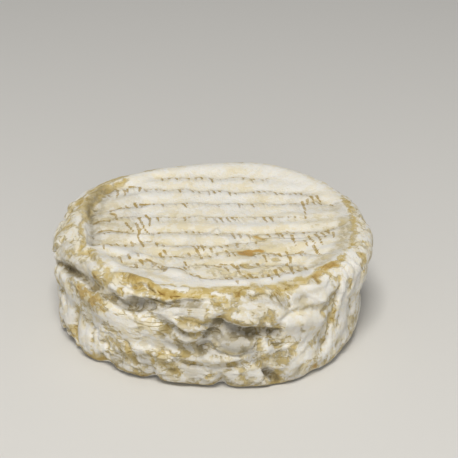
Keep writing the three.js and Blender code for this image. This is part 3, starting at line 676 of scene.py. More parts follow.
# How bare, the half width in mm, then the way (angle, down). Below 0 the bloom is thicker.
bareWays = [
    # the rim on the left: the line that curls round it, and soft stains
    (0.86, 0.6, [(170.3, -2.3), (175.5, -1.8), (181.5, -1.2), (185.8, -0.5), (189.7, -0.2), (195.4, -0.6),
                 (199, 0.6), (202.3, 1.8), (204.3, 4.2)]),
    (0.66, 0.8, [(204.3, 4.4), (206.6, 4.6), (208.7, 4.1), (209.2, 2.8), (209, 1.3)]),
    (0.46, 0.8, [(208, 2.2), (209.6, 3), (213.8, 2.9), (218.9, 3.3), (223.2, 3.7), (226, 5)]),
    (0.30, 1.2, [(213.1, 5.6), (217.4, 6), (220.6, 6.2)]),
    (0.62, 0.9, [(219.3, 6.4), (221.8, 7), (224.4, 7.7)]),
    (0.28, 1.2, [(200.3, 6.4), (203.8, 5.5), (207.2, 5), (214, 6.6)]),
    (0.45, 1.0, [(160.3, 8), (163.7, 6.7), (168, 5.8), (172.3, 5)]),
    (0.45, 1.0, [(167.5, 1.3), (172.4, -1)]),
    (0.40, 1.4, [(181.6, 8.4), (182.9, 5.9), (183.1, 2.9)]),
    (0.45, 0.7, [(196, 13.2), (203.9, 11.4), (209.4, 9.8), (216.8, 9.3), (224.7, 9.6), (232.6, 10)]),
    # the ochre ridge, and the tan one below it
    (0.62, 1.2, [(227, 5.2), (229.3, 3.8), (232, 2.4), (234.9, 1.4)]),
    (0.40, 1.6, [(226, 6.4), (230, 4.8), (235, 3.8)]),
    (0.98, 1.3, [(235.8, 1.7), (239.2, 1.1), (242.4, 0.9), (245.3, 1.5)]),
    (0.86, 1.2, [(245.3, 1.8), (248.2, 2.6), (251.1, 3.6)]),
    (1.25, 0.4, [(235.4, 2.2), (238.4, 1.9), (241.5, 1.4), (244.8, 1.4), (248, 2.6), (251.1, 3.8)]),
    (1.45, 0.4, [(238.1, 3.2), (240, 3.3), (240.9, 2.7)]),
    (-0.6, 0.5, [(230.5, 6.6), (233.4, 5.9), (236.9, 5.3), (239.2, 5.3)]),
    (0.72, 1.0, [(240.2, 4.2), (243.8, 4), (247.8, 4.2), (251.7, 4.2)]),
    (0.62, 0.8, [(231, 7.4), (236, 7)]),
    # the band round the front
    (0.68, 2.7, [(252, 1.8), (257, 1.8), (263.5, 1.5), (269, 1.1), (274, 1.7), (279, 1.5), (284, 1.3)]),
    (0.60, 2.2, [(284, 1.3), (290, 1.8), (294, 1.9), (298, 1.9), (303, 1.8)]),
    (0.72, 0.7, [(254, 3.6), (258, 3.6), (262, 3.4), (266, 3), (269, 4)]),
    (0.52, 1.0, [(286.4, 2.9), (289.9, 3.9), (293.4, 4.1)]),
    (0.55, 0.8, [(271.8, 4.4), (273.3, 6.4), (274.3, 8.1)]),
    (-1.2, 1.0, [(250.4, 0.8), (253.6, 0.5), (257.6, 0.5)]),
    (0.85, 0.4, [(248.5, 0), (251, -1.3), (255, -1.2), (259, -0.8)]),
    (-0.9, 1.0, [(269.2, 2.6), (272.1, 2.6), (274.9, 3.4)]),
    (-0.6, 0.7, [(281, 2.4), (284, 2.6)]),
    # its right, where it is rubbed through to ochre
    (0.84, 1.3, [(305.6, 2.2), (308, 2.2), (312, 1.2), (315.7, 0.8), (319.5, 1.5)]),
    (1.20, 0.25, [(307, 2.8), (308.4, 1.8), (310, 2.6), (312, 1)]),
    (1.15, 0.3, [(313, 0.2), (315, 1.2), (316.4, 0.2), (318.4, 1.6), (321, 1)]),
    (0.95, 0.7, [(307.9, 2.4), (308.2, 4.4)]),
    (0.66, 1.0, [(321.5, 1.5), (326.9, 0.5), (332.4, -0.5), (339.4, -0.6), (346, -0.6), (353.2, -0.8),
                 (363.7, 0.2), (373.2, 1.1), (380, 1.7)]),
    (0.16, 2.0, [(318, -3), (330, -3.6), (345, -3.4), (362, -3)]),
    (0.65, 0.9, [(360.2, -0.6), (358.5, 1), (357.8, 2.6)]),
    (0.45, 1.5, [(357.8, 2.6), (363, 5.9)]),
    (0.62, 0.7, [(313.8, 1.7), (313.1, 4.2), (313.1, 6.4), (313.5, 8)]),
    (0.72, 0.7, [(316.9, 6.1), (317.8, 7.5)]),
    (0.62, 0.9, [(320.6, 8.4), (323, 11), (322.8, 13.8)]),
    (0.62, 1.1, [(333.9, 5), (335.9, 6.4), (334.8, 7.8)]),
    # the line round the back of the left
    (0.85, 0.8, [(170.3, -2.4), (162.5, -2), (154.5, -2.1), (146.6, -2.1), (139.2, -1.9), (132.7, -1)]),
    (0.66, 1.5, [(142.2, -0.3), (149.6, -0.2), (157, 0.3), (162, -0.4), (168, -1.2)]),
    (0.55, 1.2, [(163, 2.6), (157, 4.2), (150, 3.2), (145.7, 2)]),
    (0.55, 1.3, [(143.1, 2.9), (138, 1.1), (131, 2.2), (124.6, 3.1), (118.8, 2.9)]),
    # the left of the side
    (0.35, 2.6, [(216, 14.2), (220.7, 13.8), (225, 13.6), (228, 14.2)]),
    (1.00, 0.3, [(220, 12), (222.6, 12), (225.4, 11.8)]),
    (1.15, 0.3, [(225.9, 13.8), (228.4, 13.8), (231.2, 14.4)]),
    (0.90, 0.3, [(216.9, 17.2), (219.7, 17.2)]),
    (0.90, 0.3, [(226.6, 11.5), (226.4, 10.4)]),
    (0.62, 0.4, [(210.5, 25.8), (212.5, 23), (215.3, 20.5), (218, 18), (220.1, 15.9)]),
    (0.60, 0.4, [(231.2, 15.1), (232.3, 17.2), (230.4, 20.5)]),
    (0.60, 0.8, [(212, 22.4), (209.7, 26.7), (210.3, 30.3), (211.7, 35)]),
    (0.36, 1.6, [(206, 31.5), (209, 32.5), (212, 33.5)]),
    (0.66, 0.4, [(222.1, 27), (222.2, 31.5), (222.4, 36)]),
    (0.62, 0.9, [(229.6, 25.4), (229.4, 28.3), (229, 31.6)]),
    (0.50, 1.0, [(233.4, 26.7), (235.4, 28), (236, 30)]),
    (0.48, 1.4, [(237.6, 26.7), (240.1, 28.3), (241.5, 30.6)]),
    (0.95, 0.4, [(248.2, 25.8), (248.5, 28.6), (248.7, 31.6)]),
    (0.48, 1.6, [(251.5, 29), (254.3, 30.4), (257.1, 32.4)]),
    (0.45, 1.0, [(196, 12), (198, 20), (195.5, 27.6)]),
    # the middle of the front
    (0.52, 0.9, [(258.3, 11.2), (262, 11.6), (265.2, 12.6), (268, 13.6)]),
    (0.62, 0.4, [(253.5, 16.1), (254.8, 17.7), (255.8, 19.5), (257.5, 20.1)]),
    (0.55, 0.7, [(259, 17.2), (262.3, 17.2), (265.7, 17.6)]),
    (0.60, 0.6, [(257, 20.2), (260.6, 20.9), (263.4, 20.8), (266.4, 19.6)]),
    (0.55, 0.6, [(251.6, 24.6), (254.5, 25.6), (258, 25.9), (261.4, 25.2)]),
    (0.72, 0.5, [(258.5, 28.9), (262.8, 28.7), (266.6, 28.1), (270.4, 28.8), (274.6, 28.6), (278, 28.6)]),
    (0.58, 1.1, [(273.1, 10.5), (275.6, 11.7), (278.1, 12.9), (281, 14.4)]),
    (0.70, 0.5, [(288.3, 9.2), (288.7, 10.9)]),
    (0.60, 0.8, [(286.7, 10.8), (286, 14.4), (285.6, 17)]),
    (0.50, 0.9, [(289, 11.8), (290, 14.4), (290.5, 17)]),
    (0.75, 0.5, [(288.9, 20), (289.6, 22), (291.3, 23.6), (293.6, 23.8)]),
    (0.55, 0.6, [(298, 14.9), (300, 19.2), (300.6, 22.7), (298.8, 24.5), (296.9, 26.1), (296, 28.3)]),
    (0.50, 0.7, [(294.3, 16.4), (295.7, 19.5)]),
    (0.50, 0.9, [(291.6, 31), (292, 34.5), (292.2, 37)]),
    (0.50, 0.8, [(279.3, 30), (280, 32.3), (280.7, 35.5)]),
    (0.56, 0.6, [(285.2, 19.5), (284.8, 22), (284.9, 25.8), (285.8, 30)]),
    (0.46, 1.0, [(270.4, 21.4), (273, 22.9), (276.4, 23.8)]),
    (0.75, 0.3, [(277.7, 23.9), (279, 22)]),
    (0.42, 2.0, [(285.2, 25), (288.7, 27), (292.8, 28.3)]),
    (0.55, 0.5, [(266.3, 30), (267.7, 31.6), (269.4, 33.5)]),
    (0.65, 0.4, [(261.4, 7.6), (261.6, 9)]),
    (0.60, 0.4, [(267, 7.4), (268, 10), (269, 12)]),
    # the right
    (0.78, 0.4, [(316.6, 7.7), (315.9, 10.1), (315.7, 12.8), (314.9, 15.6)]),
    (0.55, 1.0, [(315.2, 14.4), (314.4, 18.6), (313.9, 22)]),
    (0.90, 0.4, [(313.7, 22.4), (312.7, 25.1), (311.5, 28.3), (310.4, 30.6)]),
    (0.48, 0.7, [(300, 32.3), (304.3, 31.1), (309, 32.6)]),
    (0.40, 1.0, [(304, 19), (305.5, 23), (305, 27)]),
    (0.38, 0.8, [(309, 16), (309.4, 20), (308, 25)]),
    (0.36, 1.0, [(293, 15.5), (294, 19), (296, 22)]),
    (1.05, 0.5, [(306, 34.7), (307, 35.6)]),
    (0.48, 0.5, [(318.5, 15.1), (319.6, 18.9), (319.2, 22), (317.5, 26)]),
    (0.48, 0.5, [(331, 18), (332.7, 24.8), (330.7, 30)]),
    # where the bloom is thick and white
    (-0.35, 3.5, [(297, 17), (303, 17.5), (303, 22)]),
    (-0.15, 2.2, [(298, 14.4), (303, 14.4), (308, 15.4)]),
    (-0.30, 3.0, [(330, 2), (328, 6), (328, 12)]),
    (-0.30, 3.0, [(311, 6), (307, 9), (303, 7.5), (299.5, 8)]),
    (-0.25, 2.0, [(252, 10), (258, 9.4), (266, 9.6)]),
    (-0.30, 2.4, [(232, 17), (238, 16)]),
    (-0.30, 2.0, [(262, 32.4), (265, 32.4)]),
    (-0.35, 3.6, [(319.5, 14), (322, 21), (324, 28)]),
    (-0.30, 1.6, [(206, 5.8), (212, 5.6), (219, 5.4)]),
    (-0.15, 3.0, [(302, 27), (310, 30)]),
    # the edge of the foot
    (0.62, 1.2, [(200, 37), (214, 37.8), (226, 37.8), (233, 36.5), (240, 36.5), (246, 37)]),
    (0.52, 1.0, [(248, 37.5), (256, 38), (266, 38.3), (280, 38), (296, 38.3)]),
]
# The same on the top, as places (x, y) in mm.
bareSpots = [
    (0.95, 0.4, [(8.6, -16.9), (10.2, -17.4), (11.6, -16.4), (13.4, -16.9), (15, -16.2), (16, -16.6)]),
    (0.95, 1.1, [(9.8, -18.2), (11.4, -19), (12.6, -19.8)]), (0.95, 0.6, [(12.4, -17.6), (13.2, -19)]),
    (0.60, 0.9, [(14.4, -5.9), (16.7, -8.2)]),
    (0.70, 0.5, [(20.4, -23.1), (21, -23.8)]),
    (0.70, 0.5, [(3.3, -37.3), (4.1, -37.9)]),
    (0.62, 1.6, [(10.4, -27), (12.2, -28.2)]),
    (0.70, 0.5, [(27.2, -32.2), (27.6, -33.4)]),
    (0.21, 2.6, [(-4, -27), (-2, -29.5), (4, -33), (11, -33), (18, -31.5), (24, -29)]),
    (-0.30, 3.0, [(-35.1, -16), (-29.7, -18), (-25, -21.4)]),
    (-0.20, 2.4, [(-13, -33), (-3.6, -39.6), (7, -42), (18, -41.4), (25, -38.6)]),
]
# Where the rind below is a warmer orange, on the side and on the top.
warmWays = [
    (0.4, 2.6, [(217, 14), (222, 13.4), (228, 14)]),
    (0.35, 1.4, [(307.9, 2.6), (312.6, 0.8), (318.2, 1.6), (321, 1.4)]),
    (0.9, 0.8, [(306, 34.7), (307, 35.6)]),
]
warmSpots = [(1.0, 2.8, [(9.4, -17.6), (12.4, -18.6), (15, -17.4)]),
             (0.6, 1.2, [(14.4, -5.9), (16.7, -8.2)])]
# Painted shade in the folds and hollows, towards the foot, inside the rim and at the top's back, in the same
# way.
paintedShadeWays = [
    # painted shade in the groove under the rim, under the band, and in the hollows, folds and pocket of the
    # front
    (0.95, 0.7, [(196, 13.2), (203.9, 11.5), (209.4, 9.9), (216.8, 9.4), (224.7, 9.7), (232.6, 10.3),
                 (239.7, 10.5), (244.3, 9.8), (248.7, 8.3)]),
    (0.75, 0.8, [(239, 8), (245, 7.6), (250.8, 6.9), (257.6, 6), (263, 5.6)]),
    (0.40, 1.2, [(246, 10), (251, 9.4), (256, 8.4)]),
    (0.35, 1.4, [(253.9, 7.2), (262, 7), (270, 7.4)]),
    (0.95, 0.9, [(271.4, 13.2), (273.2, 14.8), (275.2, 16), (278, 17.4), (280.8, 18.5), (284.2, 18.8)]),
    (0.95, 0.7, [(284, 18.5), (287.6, 18.2), (292, 19)]),
    # painted shade dimming the lit swell of the knob and the bulge under the band
    (0.72, 3.0, [(272.4, 17.6), (276, 19.4), (281, 20.8)]),
    (0.26, 3.0, [(274, 21), (279, 22.5), (283, 23)]),
    (0.30, 3.4, [(275, 8.4), (281, 9.2), (286, 10)]),
    (0.48, 2.6, [(291, 25), (294, 29), (297, 33)]),
    (0.84, 1.8, [(271.6, 15.4), (270, 18), (268, 21), (266, 23.6)]),
    (0.42, 1.2, [(252.4, 11.5), (254.2, 13.4), (257, 15.8)]),
    (0.42, 0.7, [(259.2, 12), (264.5, 13.4), (269, 15)]),
    (0.46, 3.6, [(256, 19), (262, 22), (270, 24)]),
    (0.22, 3.4, [(246, 27), (258, 28.6), (276, 28.6)]),
    (0.50, 0.6, [(288.9, 20.2), (290.4, 22.8), (293.6, 23.8)]),
    (0.95, 1.2, [(287.6, 31.6), (289.2, 34), (291.4, 36.2)]),
    (0.35, 1.2, [(284, 4.4), (290, 5.8), (295, 9)]),
    (0.22, 2.6, [(300, 8.4), (304, 9)]),
    (0.24, 4.5, [(278, 5.8), (286, 8.3)]),
    # painted shade near the foot
    (0.38, 5.0, [(236, 34), (255, 34), (270, 35), (285, 36)]),
    # painted shade on the steep inner wall of the rim on the left
    (0.95, 0.2, [(203, -1.2), (197.5, -3), (192.6, -4.2), (185, -4.7), (178.8, -4.6), (169.8, -4),
                 (160.8, -3.3)]),
    (0.50, 1.4, [(202, -1), (197.5, -3.4), (192.6, -5), (185, -5.6), (178.8, -5.5), (169.8, -4.8),
                 (160.8, -4), (151, -3), (142, -3)]),
    # painted shade near the foot and along its edge, where it meets the floor
    (0.30, 1.6, [(274, 33.5), (275, 37)]),
    (0.34, 1.2, [(232, 37.8), (246, 38), (262, 38.4), (280, 38.2), (300, 38)]),
    # painted shade at the back of the rim and the top on the left, inside the rim on the right, and on the
    # top's back
    (0.55, 1.2, [(146, -0.6), (155, -0.6), (162, -1.2), (170, -2)]),
    (0.20, 6.0, [(189, -11), (180, -12), (164, -12), (146, -12)]),
    (0.32, 2.0, [(316, -3.4), (330, -3.6), (345, -3.6), (362, -3.2), (376, -3)]),
    (0.14, 5.0, [(350, -9), (372, -10), (396, -10)]),
    (0.30, 2.4, [(196, 6.5), (203, 8), (210, 8.4)]),
]


# How the bloom is laid on: shares of bareness, with sizes and ways down in mm.
bloom = {
    "softEdge": 1.4,                             # mm, wider than the mesh, so that no edge has steps
    "fineWiggle": 1.8, "wayWiggle": 0.5,
    "patches": [(1, 9, 14), (0.6, 3.5, 15)],     # strength, size and seed
    "farPatches": (0.9, 16, 19),
    "rimAngle": 170, "rimReach": (0.35, 0.9), "rimInside": (-4, -1), "rimOutside": (9, 13),
    "rimThin": 0.06, "rimThick": 0.09, "rimTurn": (172, 192), "rimVeins": 0.26, "veinWidth": 0.13,
    "heel": (30, 39), "atHeel": 0.12,
    "everywhere": 0.22, "inPatches": 0.24, "inHollows": 0.3, "onFarSide": 0.02,
    "atFront": 0.1, "front": (-8, 12),           # mm in front of the middle, where the front begins
    "nearRows": 0.12, "nearRow": 2.5, "onTop": -0.02,
    "mostGround": 0.5, "topGround": 0.8, "most": 1.3, "power": 1.4,
    # how many mm wider the painted shade ways are, and how much painted shade the crumple's hollows get
    "shadeWidening": 0.6, "shadeInHollows": 0.4,
    "calmEven": 0.6,
}


def spread(amount, halfWidth, gap):
    return amount * np.clip(0.5 + (halfWidth - gap) / bloom["softEdge"], 0, 1)


# the strongest of several layers at each vertex, less the strongest of those below 0
def strongest(amounts):
    amounts = np.array(amounts)
    return np.maximum(amounts.max(axis=0), 0) + np.minimum(amounts.min(axis=0), 0)


def paintedOnRind(rindWays, bend, edge=0):
    return [spread(amount, width + edge, fromPath(way, bend)[0]) for amount, width, way in rindWays]


def paintedOnTop(topWays):
    x, y = (spots[:, :2] + fineWiggle * bloom["wayWiggle"]).T
    return [spread(amount, width, fromLine(way, x, y)[0]) * onTop for amount, width, way in topWays]


fineWiggle = bends(bloom["fineWiggle"], 12) + wiggle
ways = strongest(paintedOnRind(bareWays, fineWiggle))
topSpots = strongest(paintedOnTop(bareSpots))
warm = strongest(paintedOnRind(warmWays, fineWiggle) + paintedOnTop(warmSpots))

farStrength, farSize, farSeed = bloom["farPatches"]
patches = (sum(strength * noiseAt(spots, size, seed) for strength, size, seed in bloom["patches"])
           + farStrength * farSide * noiseAt(spots, farSize, farSeed))
leftRim = (smooth(np.cos(np.radians(angle - bloom["rimAngle"])), *bloom["rimReach"])
           * smooth(down, *bloom["rimInside"]) * (1 - smooth(down, *bloom["rimOutside"])))
veins = np.exp(-(streaks / bloom["veinWidth"]) ** 2)
onRim = bloom["rimThin"] - bloom["rimThick"] * smooth(angle, *bloom["rimTurn"]) + bloom["rimVeins"] * veins
amongRows = (bloom["atFront"] * smooth(-spots[:, 1], *bloom["front"])
             + bloom["nearRows"] * np.exp(-rowGap / bloom["nearRow"]) + bloom["onTop"])
cavity = np.clip(-crumple * rough, -1, 1)
ground = (bloom["everywhere"] + bloom["inPatches"] * patches + bloom["inHollows"] * cavity
          + bloom["atHeel"] * smooth(down, *bloom["heel"]) + leftRim * onRim
          + farSide * onSide * bloom["onFarSide"] + onTop * amongRows)
ground = np.clip(ground, 0, bloom["mostGround"]) * (onSide + bloom["topGround"] * onTop)
bare = np.clip(ground + ways + topSpots, 0, bloom["most"]) ** bloom["power"]
# painted shade: the shade ways, and darker in the crumple's hollows on the side
shadeShare = strongest(paintedOnRind(paintedShadeWays, wiggle, bloom["shadeWidening"]))
paintedShade = np.clip(shadeShare + bloom["shadeInHollows"] * cavity * onSide, 0, 1)
even = np.clip(leftRim + bloom["calmEven"] * calm, 0, 1)

# paintedShade carries the painted shade into the material
layers = {"bare": bare, "warm": warm, "paintedShade": paintedShade, "even": even, "loneMarks": loneMarks,
          "rowBelow": rowBelow,
          "rowAlong": rowAlong, "rowHere": rowHere, "upright": uprightShare, "side": onSide}
for name, values in layers.items():
    layer = cheese.data.attributes.new(name=name, type="FLOAT", domain="POINT")
    layer.data.foreach_set("value", values.astype(np.float32))
print("bloom is painted")


# Bloomy rind: a felt of white mould on soft cheese. It is dry and matt with a faint velvet edge, creamy
# where it is thin, and tan to ochre and slightly greasy where it is rubbed off.
bloomyRind = {
    # the shade at each bareness, from thick bloom to bare rind
    "shades": [(0.02, "#E3E0D8"), (0.16, "#E0D7BF"), (0.28, "#D3C6A1"), (0.37, "#CDBC8F"),
               (0.62, "#BCA667"),
               (0.82, "#A2833B"), (1, "#86662A")],
    # shadeTone is the grey-brown of the painted shade in folds and hollows
    "orange": "#B98D42", "shadeTone": "#685C3F", "markTan": "#AC9357",
    # how far the pattern is bent, by a noise of which size and detail, and how the streaks are drawn out
    "drift": 2.4, "driftSize": 6.0, "driftDetail": 3,
    "level": (0.5, 0.5, 1.9), "upright": (1.6, 1.6, 0.45),
    # noises: size in mm, detail, roughness
    "sheets": (2.8, 5, 0.62), "flakes": (1.5, 6, 0.68), "streaks": (1.1, 4, 0.6), "drifts": (5, 3, 0.6),
    "felt": (0.3, 3, 0.5),
    # cracks: mm, the noise between which they break off, then the bareness at which they show in full and
    # how much of them shows on thick bloom
    "crackSize": 3.6, "crackWidth": 0.3, "crackBreaks": (0.46, 0.58), "crackThinned": (0.2, 0.12),
    # how much each pattern breaks the edges of a patch
    "sheetEdge": (0.455, 0.545), "sheetShare": 0.42, "flakeShare": 0.3, "streakShare": 0.22,
    "evenOut": -0.47,
    "breaking": 1.7, "leastBreaking": 0.24, "wholeAt": 1.1, "calming": -0.5, "topBreaking": 0.5,
    "topEnds": 0.6,
    "bareShare": 0.6, "leastBare": 0.03, "crackShare": 0.36,
    "warmed": (0.3, 0.6, 0.8),             # from and to which bareness, and how much at most
    # marks of the threads, in mm, in shares and in noise
    "sway": 2.4, "randomness": 0.8, "lengthPower": 1.4, "taper": 0.6, "ragged": 0.55,
    "dropEdge": (0.18, 0.27),
    "tailEnd": 0.1, "faint": (0.4, 0.5), "loneRagged": 1.2, "loneEdge": (0.38, 0.54),
    "rowStain": (0.5, 1.8), "stain": (0.46, 0.56, 0.8), "markDepth": (0.35, 0.6, 0.6),
    "shadeShare": (-0.25, 0.2, 0.6, 0.85),      # from and to which pattern, and how much of the painted shade shows at each
    "greasy": (0.3, 0.9, 0.88, 0.55),      # from and to which bareness, and the roughness at each
    # relief: shares of its depth, then depths in mm with strengths
    "streakRelief": 0.5, "flakeRelief": 0.7, "sunk": -0.35, "crust": (0.2, 0.34, 0.6),
    "creaseWidth": 0.4, "creaseFade": (1.5, 8),
    "relief": (0.7, 0.8), "feltRelief": (0.09, 0.5),
    "settings": {"Subsurface Weight": 0.12, "Subsurface Radius": (1, 0.8, 0.55),
                 "Subsurface Scale": 1.2 * mm,
                 "Sheen Weight": 0.12, "Sheen Roughness": 0.6, "IOR": 1.42, "Specular IOR Level": 0.3},
}


def perMetre(size):
    return 1 / (size * mm)


def makeRind(look):
    rind = bpy.data.materials.new("bloomyRind")
    rind.use_nodes = True
    tree = rind.node_tree
    shader = tree.nodes["Principled BSDF"]
    painted = {name: addNode(tree, "ShaderNodeAttribute", {"attribute_name": name},
                             out="Fac") for name in layers}
    kinds = ("MULTIPLY", "ADD", "SUBTRACT", "MULTIPLY_ADD", "DIVIDE", "POWER", "MAXIMUM")
    times, plus, minus, sumOf, over, power, larger = ({"operation": kind} for kind in kinds)
    clamped = {"operation": "SUBTRACT", "use_clamp": True}
    soft = {"interpolation_type": "SMOOTHSTEP"}
    inColor = {"data_type": "RGBA"}

    # the pattern is bent by a slow noise, so that nothing runs straight
    spot = addNode(tree, "ShaderNodeTexCoord", out="Object")
    slow = {"Vector": spot, "Scale": perMetre(look["driftSize"]), "Detail": look["driftDetail"]}
    bend = addNode(tree, "ShaderNodeTexNoise", inputs=slow, out="Color")
    push = look["drift"] * mm
    bent = addNode(tree, "ShaderNodeVectorMath", sumOf, {0: bend, 1: (push, push, push), 2: spot})
    level = addNode(tree, "ShaderNodeMapping", inputs={"Vector": bent, "Scale": look["level"]})
    upright = addNode(tree, "ShaderNodeMapping", inputs={"Vector": bent, "Scale": look["upright"]})
    laid = addNode(tree, "ShaderNodeMix", {"data_type": "VECTOR"}, {0: painted["upright"], 4: level,
                                                                    5: upright}, out=1)
    noises = []
    for name, way in (("sheets", bent), ("flakes", bent), ("streaks", laid), ("felt", spot),
                      ("drifts", bent)):
        size, detail, roughness = look[name]
        settings = {"Vector": way, "Scale": perMetre(size), "Detail": detail, "Roughness": roughness}
        noises.append(addNode(tree, "ShaderNodeTexNoise", inputs=settings))
    sheets, flakes, streaks, felt, drifts = noises

    # thin broken cracks between the flakes on the side
    net = {"Vector": laid, "Scale": perMetre(look["crackSize"])}
    crackGap = addNode(tree, "ShaderNodeTexVoronoi", {"feature": "DISTANCE_TO_EDGE"}, net, out="Distance")
    crackEdge = look["crackWidth"] / look["crackSize"]
    thin = addNode(tree, "ShaderNodeMapRange", soft, {0: crackGap, 1: 0, 2: crackEdge, 3: 1, 4: 0})
    start, full = look["crackBreaks"]
    broken = addNode(tree, "ShaderNodeMapRange", soft, {0: drifts, 1: start, 2: full})
    crack = addNode(tree, "ShaderNodeMath", times, {0: thin, 1: broken})
    crack = addNode(tree, "ShaderNodeMath", times, {0: crack, 1: painted["side"]})
    full, least = look["crackThinned"]
    thinned = addNode(tree, "ShaderNodeMapRange", soft, {0: painted["bare"], 1: 0, 2: full, 3: least, 4: 1})
    crack = addNode(tree, "ShaderNodeMath", times, {0: crack, 1: thinned})

    # bareness decides the colour, and the finer patterns break its edges
    start, full = look["sheetEdge"]
    sheetEdge = addNode(tree, "ShaderNodeMapRange", soft, {0: sheets, 1: start, 2: full})
    pattern = look["evenOut"]
    for part, share in ((streaks, "streakShare"), (flakes, "flakeShare"), (sheetEdge, "sheetShare")):
        pattern = addNode(tree, "ShaderNodeMath", sumOf, {0: part, 1: look[share], 2: pattern})
    whole = addNode(tree, "ShaderNodeMath", clamped, {0: look["wholeAt"], 1: painted["bare"]})
    breaking = addNode(tree, "ShaderNodeMath", times, {0: painted["bare"], 1: whole})
    breaking = addNode(tree, "ShaderNodeMath", sumOf, {0: breaking, 1: look["breaking"],
                                                       2: look["leastBreaking"]})
    evenly = addNode(tree, "ShaderNodeMath", sumOf, {0: painted["even"], 1: look["calming"], 2: 1})
    breaking = addNode(tree, "ShaderNodeMath", times, {0: breaking, 1: evenly})
    onTop = {0: painted["side"], 1: 0, 2: look["topEnds"], 3: look["topBreaking"], 4: 1}
    lower = addNode(tree, "ShaderNodeMapRange", soft, onTop)
    breaking = addNode(tree, "ShaderNodeMath", times, {0: breaking, 1: lower})
    shown = addNode(tree, "ShaderNodeMath", sumOf, {0: painted["bare"], 1: look["bareShare"],
                                                    2: look["leastBare"]})
    shown = addNode(tree, "ShaderNodeMath", sumOf, {0: crack, 1: look["crackShare"], 2: shown})
    shown = addNode(tree, "ShaderNodeMath", sumOf, {0: pattern, 1: breaking, 2: shown})
    first, *between, last = [(bareness, linear(shade)) for bareness, shade in look["shades"]]
    color = addNode(tree, "ShaderNodeValToRGB", inputs={"Fac": shown}, stops=[first, last, *between])
    start, full, most = look["warmed"]
    rubbed = addNode(tree, "ShaderNodeMapRange", soft, {0: shown, 1: start, 2: full, 3: 0, 4: most})
    warmth = addNode(tree, "ShaderNodeMath", times, {0: painted["warm"], 1: rubbed})
    color = addNode(tree, "ShaderNodeMix", inColor, {0: warmth, 6: color, 7: linear(look["orange"])}, out=2)

    # Marks of the mat's threads: every thread end leaves a short drop that tapers towards the front.
    sway = addNode(tree, "ShaderNodeMath", sumOf, {0: drifts, 1: look["sway"], 2: painted["rowAlong"]})
    threads = {"W": sway, "Scale": 1 / mat["threadGap"], "Randomness": look["randomness"]}
    thread = addNode(tree, "ShaderNodeTexVoronoi", {"voronoi_dimensions": "1D"}, threads, out="Distance")
    chance = addNode(tree, "ShaderNodeSeparateColor", inputs={0: thread.node.outputs["Color"]}).node.outputs
    shortMark, longMark = mat["markLength"]
    reach = addNode(tree, "ShaderNodeMath", power, {0: chance[0], 1: look["lengthPower"]})
    length = addNode(tree, "ShaderNodeMapRange", inputs={0: reach, 1: 0, 2: 1, 3: shortMark, 4: longMark})
    passed = addNode(tree, "ShaderNodeMath", over, {0: painted["rowBelow"], 1: length})
    left = addNode(tree, "ShaderNodeMath", clamped, {0: 1, 1: passed})
    halfWidth = addNode(tree, "ShaderNodeMath", power, {0: left, 1: look["taper"]})
    halfWidth = addNode(tree, "ShaderNodeMath", times,
                        {0: halfWidth, 1: 0.5 * mat["markWidth"] / mat["threadGap"]})
    inside = addNode(tree, "ShaderNodeMath", sumOf, {0: flakes, 1: look["ragged"], 2: halfWidth})
    inside = addNode(tree, "ShaderNodeMath", minus, {0: inside, 1: thread})
    start, full = look["dropEdge"]
    drop = addNode(tree, "ShaderNodeMapRange", soft, {0: inside, 1: start, 2: full})
    tail = addNode(tree, "ShaderNodeMapRange", soft, {0: left, 1: 0, 2: look["tailEnd"]})
    drop = addNode(tree, "ShaderNodeMath", times, {0: drop, 1: tail})
    full, least = look["faint"]
    strength = addNode(tree, "ShaderNodeMapRange", soft, {0: chance[1], 1: 0, 2: full, 3: least, 4: 1})
    drop = addNode(tree, "ShaderNodeMath", times, {0: drop, 1: strength})

    # short stains along a row
    start, end = look["rowStain"]
    near = addNode(tree, "ShaderNodeMapRange", soft, {0: painted["rowBelow"], 1: start, 2: end, 3: 1, 4: 0})
    start, full, most = look["stain"]
    stain = addNode(tree, "ShaderNodeMapRange", soft, {0: flakes, 1: start, 2: full, 3: 0, 4: most})
    rowStain = addNode(tree, "ShaderNodeMath", times, {0: near, 1: stain})
    drop = addNode(tree, "ShaderNodeMath", larger, {0: drop, 1: rowStain})
    drop = addNode(tree, "ShaderNodeMath", times, {0: drop, 1: painted["rowHere"]})

    # lone marks with ragged edges, and all the marks fainter where the sheets' noise is low
    edge = {0: flakes, 1: look["loneRagged"], 2: -look["loneRagged"] / 2}
    ragged = addNode(tree, "ShaderNodeMath", sumOf, edge)
    ragged = addNode(tree, "ShaderNodeMath", plus, {0: painted["loneMarks"], 1: ragged})
    start, full = look["loneEdge"]
    lone = addNode(tree, "ShaderNodeMapRange", soft, {0: ragged, 1: start, 2: full})
    marks = addNode(tree, "ShaderNodeMath", larger, {0: drop, 1: lone})
    start, full, least = look["markDepth"]
    depth = addNode(tree, "ShaderNodeMapRange", soft, {0: sheets, 1: start, 2: full, 3: least, 4: 1})
    marks = addNode(tree, "ShaderNodeMath", times, {0: marks, 1: depth})
    color = addNode(tree, "ShaderNodeMix", inColor, {0: marks, 6: color, 7: linear(look["markTan"])}, out=2)
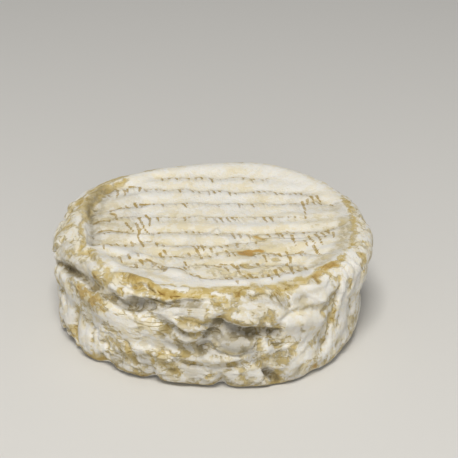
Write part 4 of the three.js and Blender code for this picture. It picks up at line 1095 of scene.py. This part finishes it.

    # painted shade in the folds and hollows, thinner where the pattern is low
    start, full, least, most = look["shadeShare"]
    thinner = addNode(tree, "ShaderNodeMapRange", soft, {0: pattern, 1: start, 2: full, 3: least, 4: most})
    dim = addNode(tree, "ShaderNodeMath", times, {0: painted["paintedShade"], 1: thinner})
    color = addNode(tree, "ShaderNodeMix", inColor, {0: dim, 6: color, 7: linear(look["shadeTone"])}, out=2)
    tree.links.new(color, shader.inputs["Base Color"])
    start, full, matt, greasy = look["greasy"]
    roughness = addNode(tree, "ShaderNodeMapRange", soft, {0: shown, 1: start, 2: full, 3: matt, 4: greasy})
    tree.links.new(roughness, shader.inputs["Roughness"])

    # flakes, cracks and marks in low relief, soft creases between the threads, and the felt of the mould
    # over them
    low = addNode(tree, "ShaderNodeMath", times, {0: streaks, 1: look["streakRelief"]})
    low = addNode(tree, "ShaderNodeMath", sumOf, {0: flakes, 1: look["flakeRelief"], 2: low})
    low = addNode(tree, "ShaderNodeMath", sumOf, {0: crack, 1: look["sunk"], 2: low})
    start, full, high = look["crust"]
    crust = addNode(tree, "ShaderNodeMapRange", soft, {0: shown, 1: start, 2: full, 3: high, 4: 0})
    low = addNode(tree, "ShaderNodeMath", plus, {0: low, 1: crust})
    low = addNode(tree, "ShaderNodeMath", sumOf, {0: drop, 1: look["sunk"], 2: low})
    gather = {0: thread, 1: 0, 2: look["creaseWidth"], 3: mat["gatherDepth"], 4: 0}
    crease = addNode(tree, "ShaderNodeMapRange", soft, gather)
    deepest, end = look["creaseFade"]
    begins = addNode(tree, "ShaderNodeMapRange", soft, {0: painted["rowBelow"], 1: 0, 2: deepest})
    ends = addNode(tree, "ShaderNodeMapRange", soft, {0: painted["rowBelow"], 1: deepest, 2: end, 3: 1,
                                                      4: 0})
    for share in (begins, ends, painted["rowHere"]):
        crease = addNode(tree, "ShaderNodeMath", times, {0: crease, 1: share})
    low = addNode(tree, "ShaderNodeMath", minus, {0: low, 1: crease})
    deep, strength = look["relief"]
    lowBump = addNode(tree, "ShaderNodeBump", inputs={
        "Height": low, "Strength": strength, "Distance": deep * mm})
    deep, strength = look["feltRelief"]
    fine = {"Height": felt, "Normal": lowBump, "Strength": strength, "Distance": deep * mm}
    tree.links.new(addNode(tree, "ShaderNodeBump", inputs=fine), shader.inputs["Normal"])
    for name, value in look["settings"].items():
        shader.inputs[name].default_value = value
    return rind


cheese.data.materials.clear()
cheese.data.materials.append(makeRind(bloomyRind))
bpy.ops.object.shade_smooth()
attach(cheese, "root")
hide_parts("cheese_wheel")
print("rind is finished")
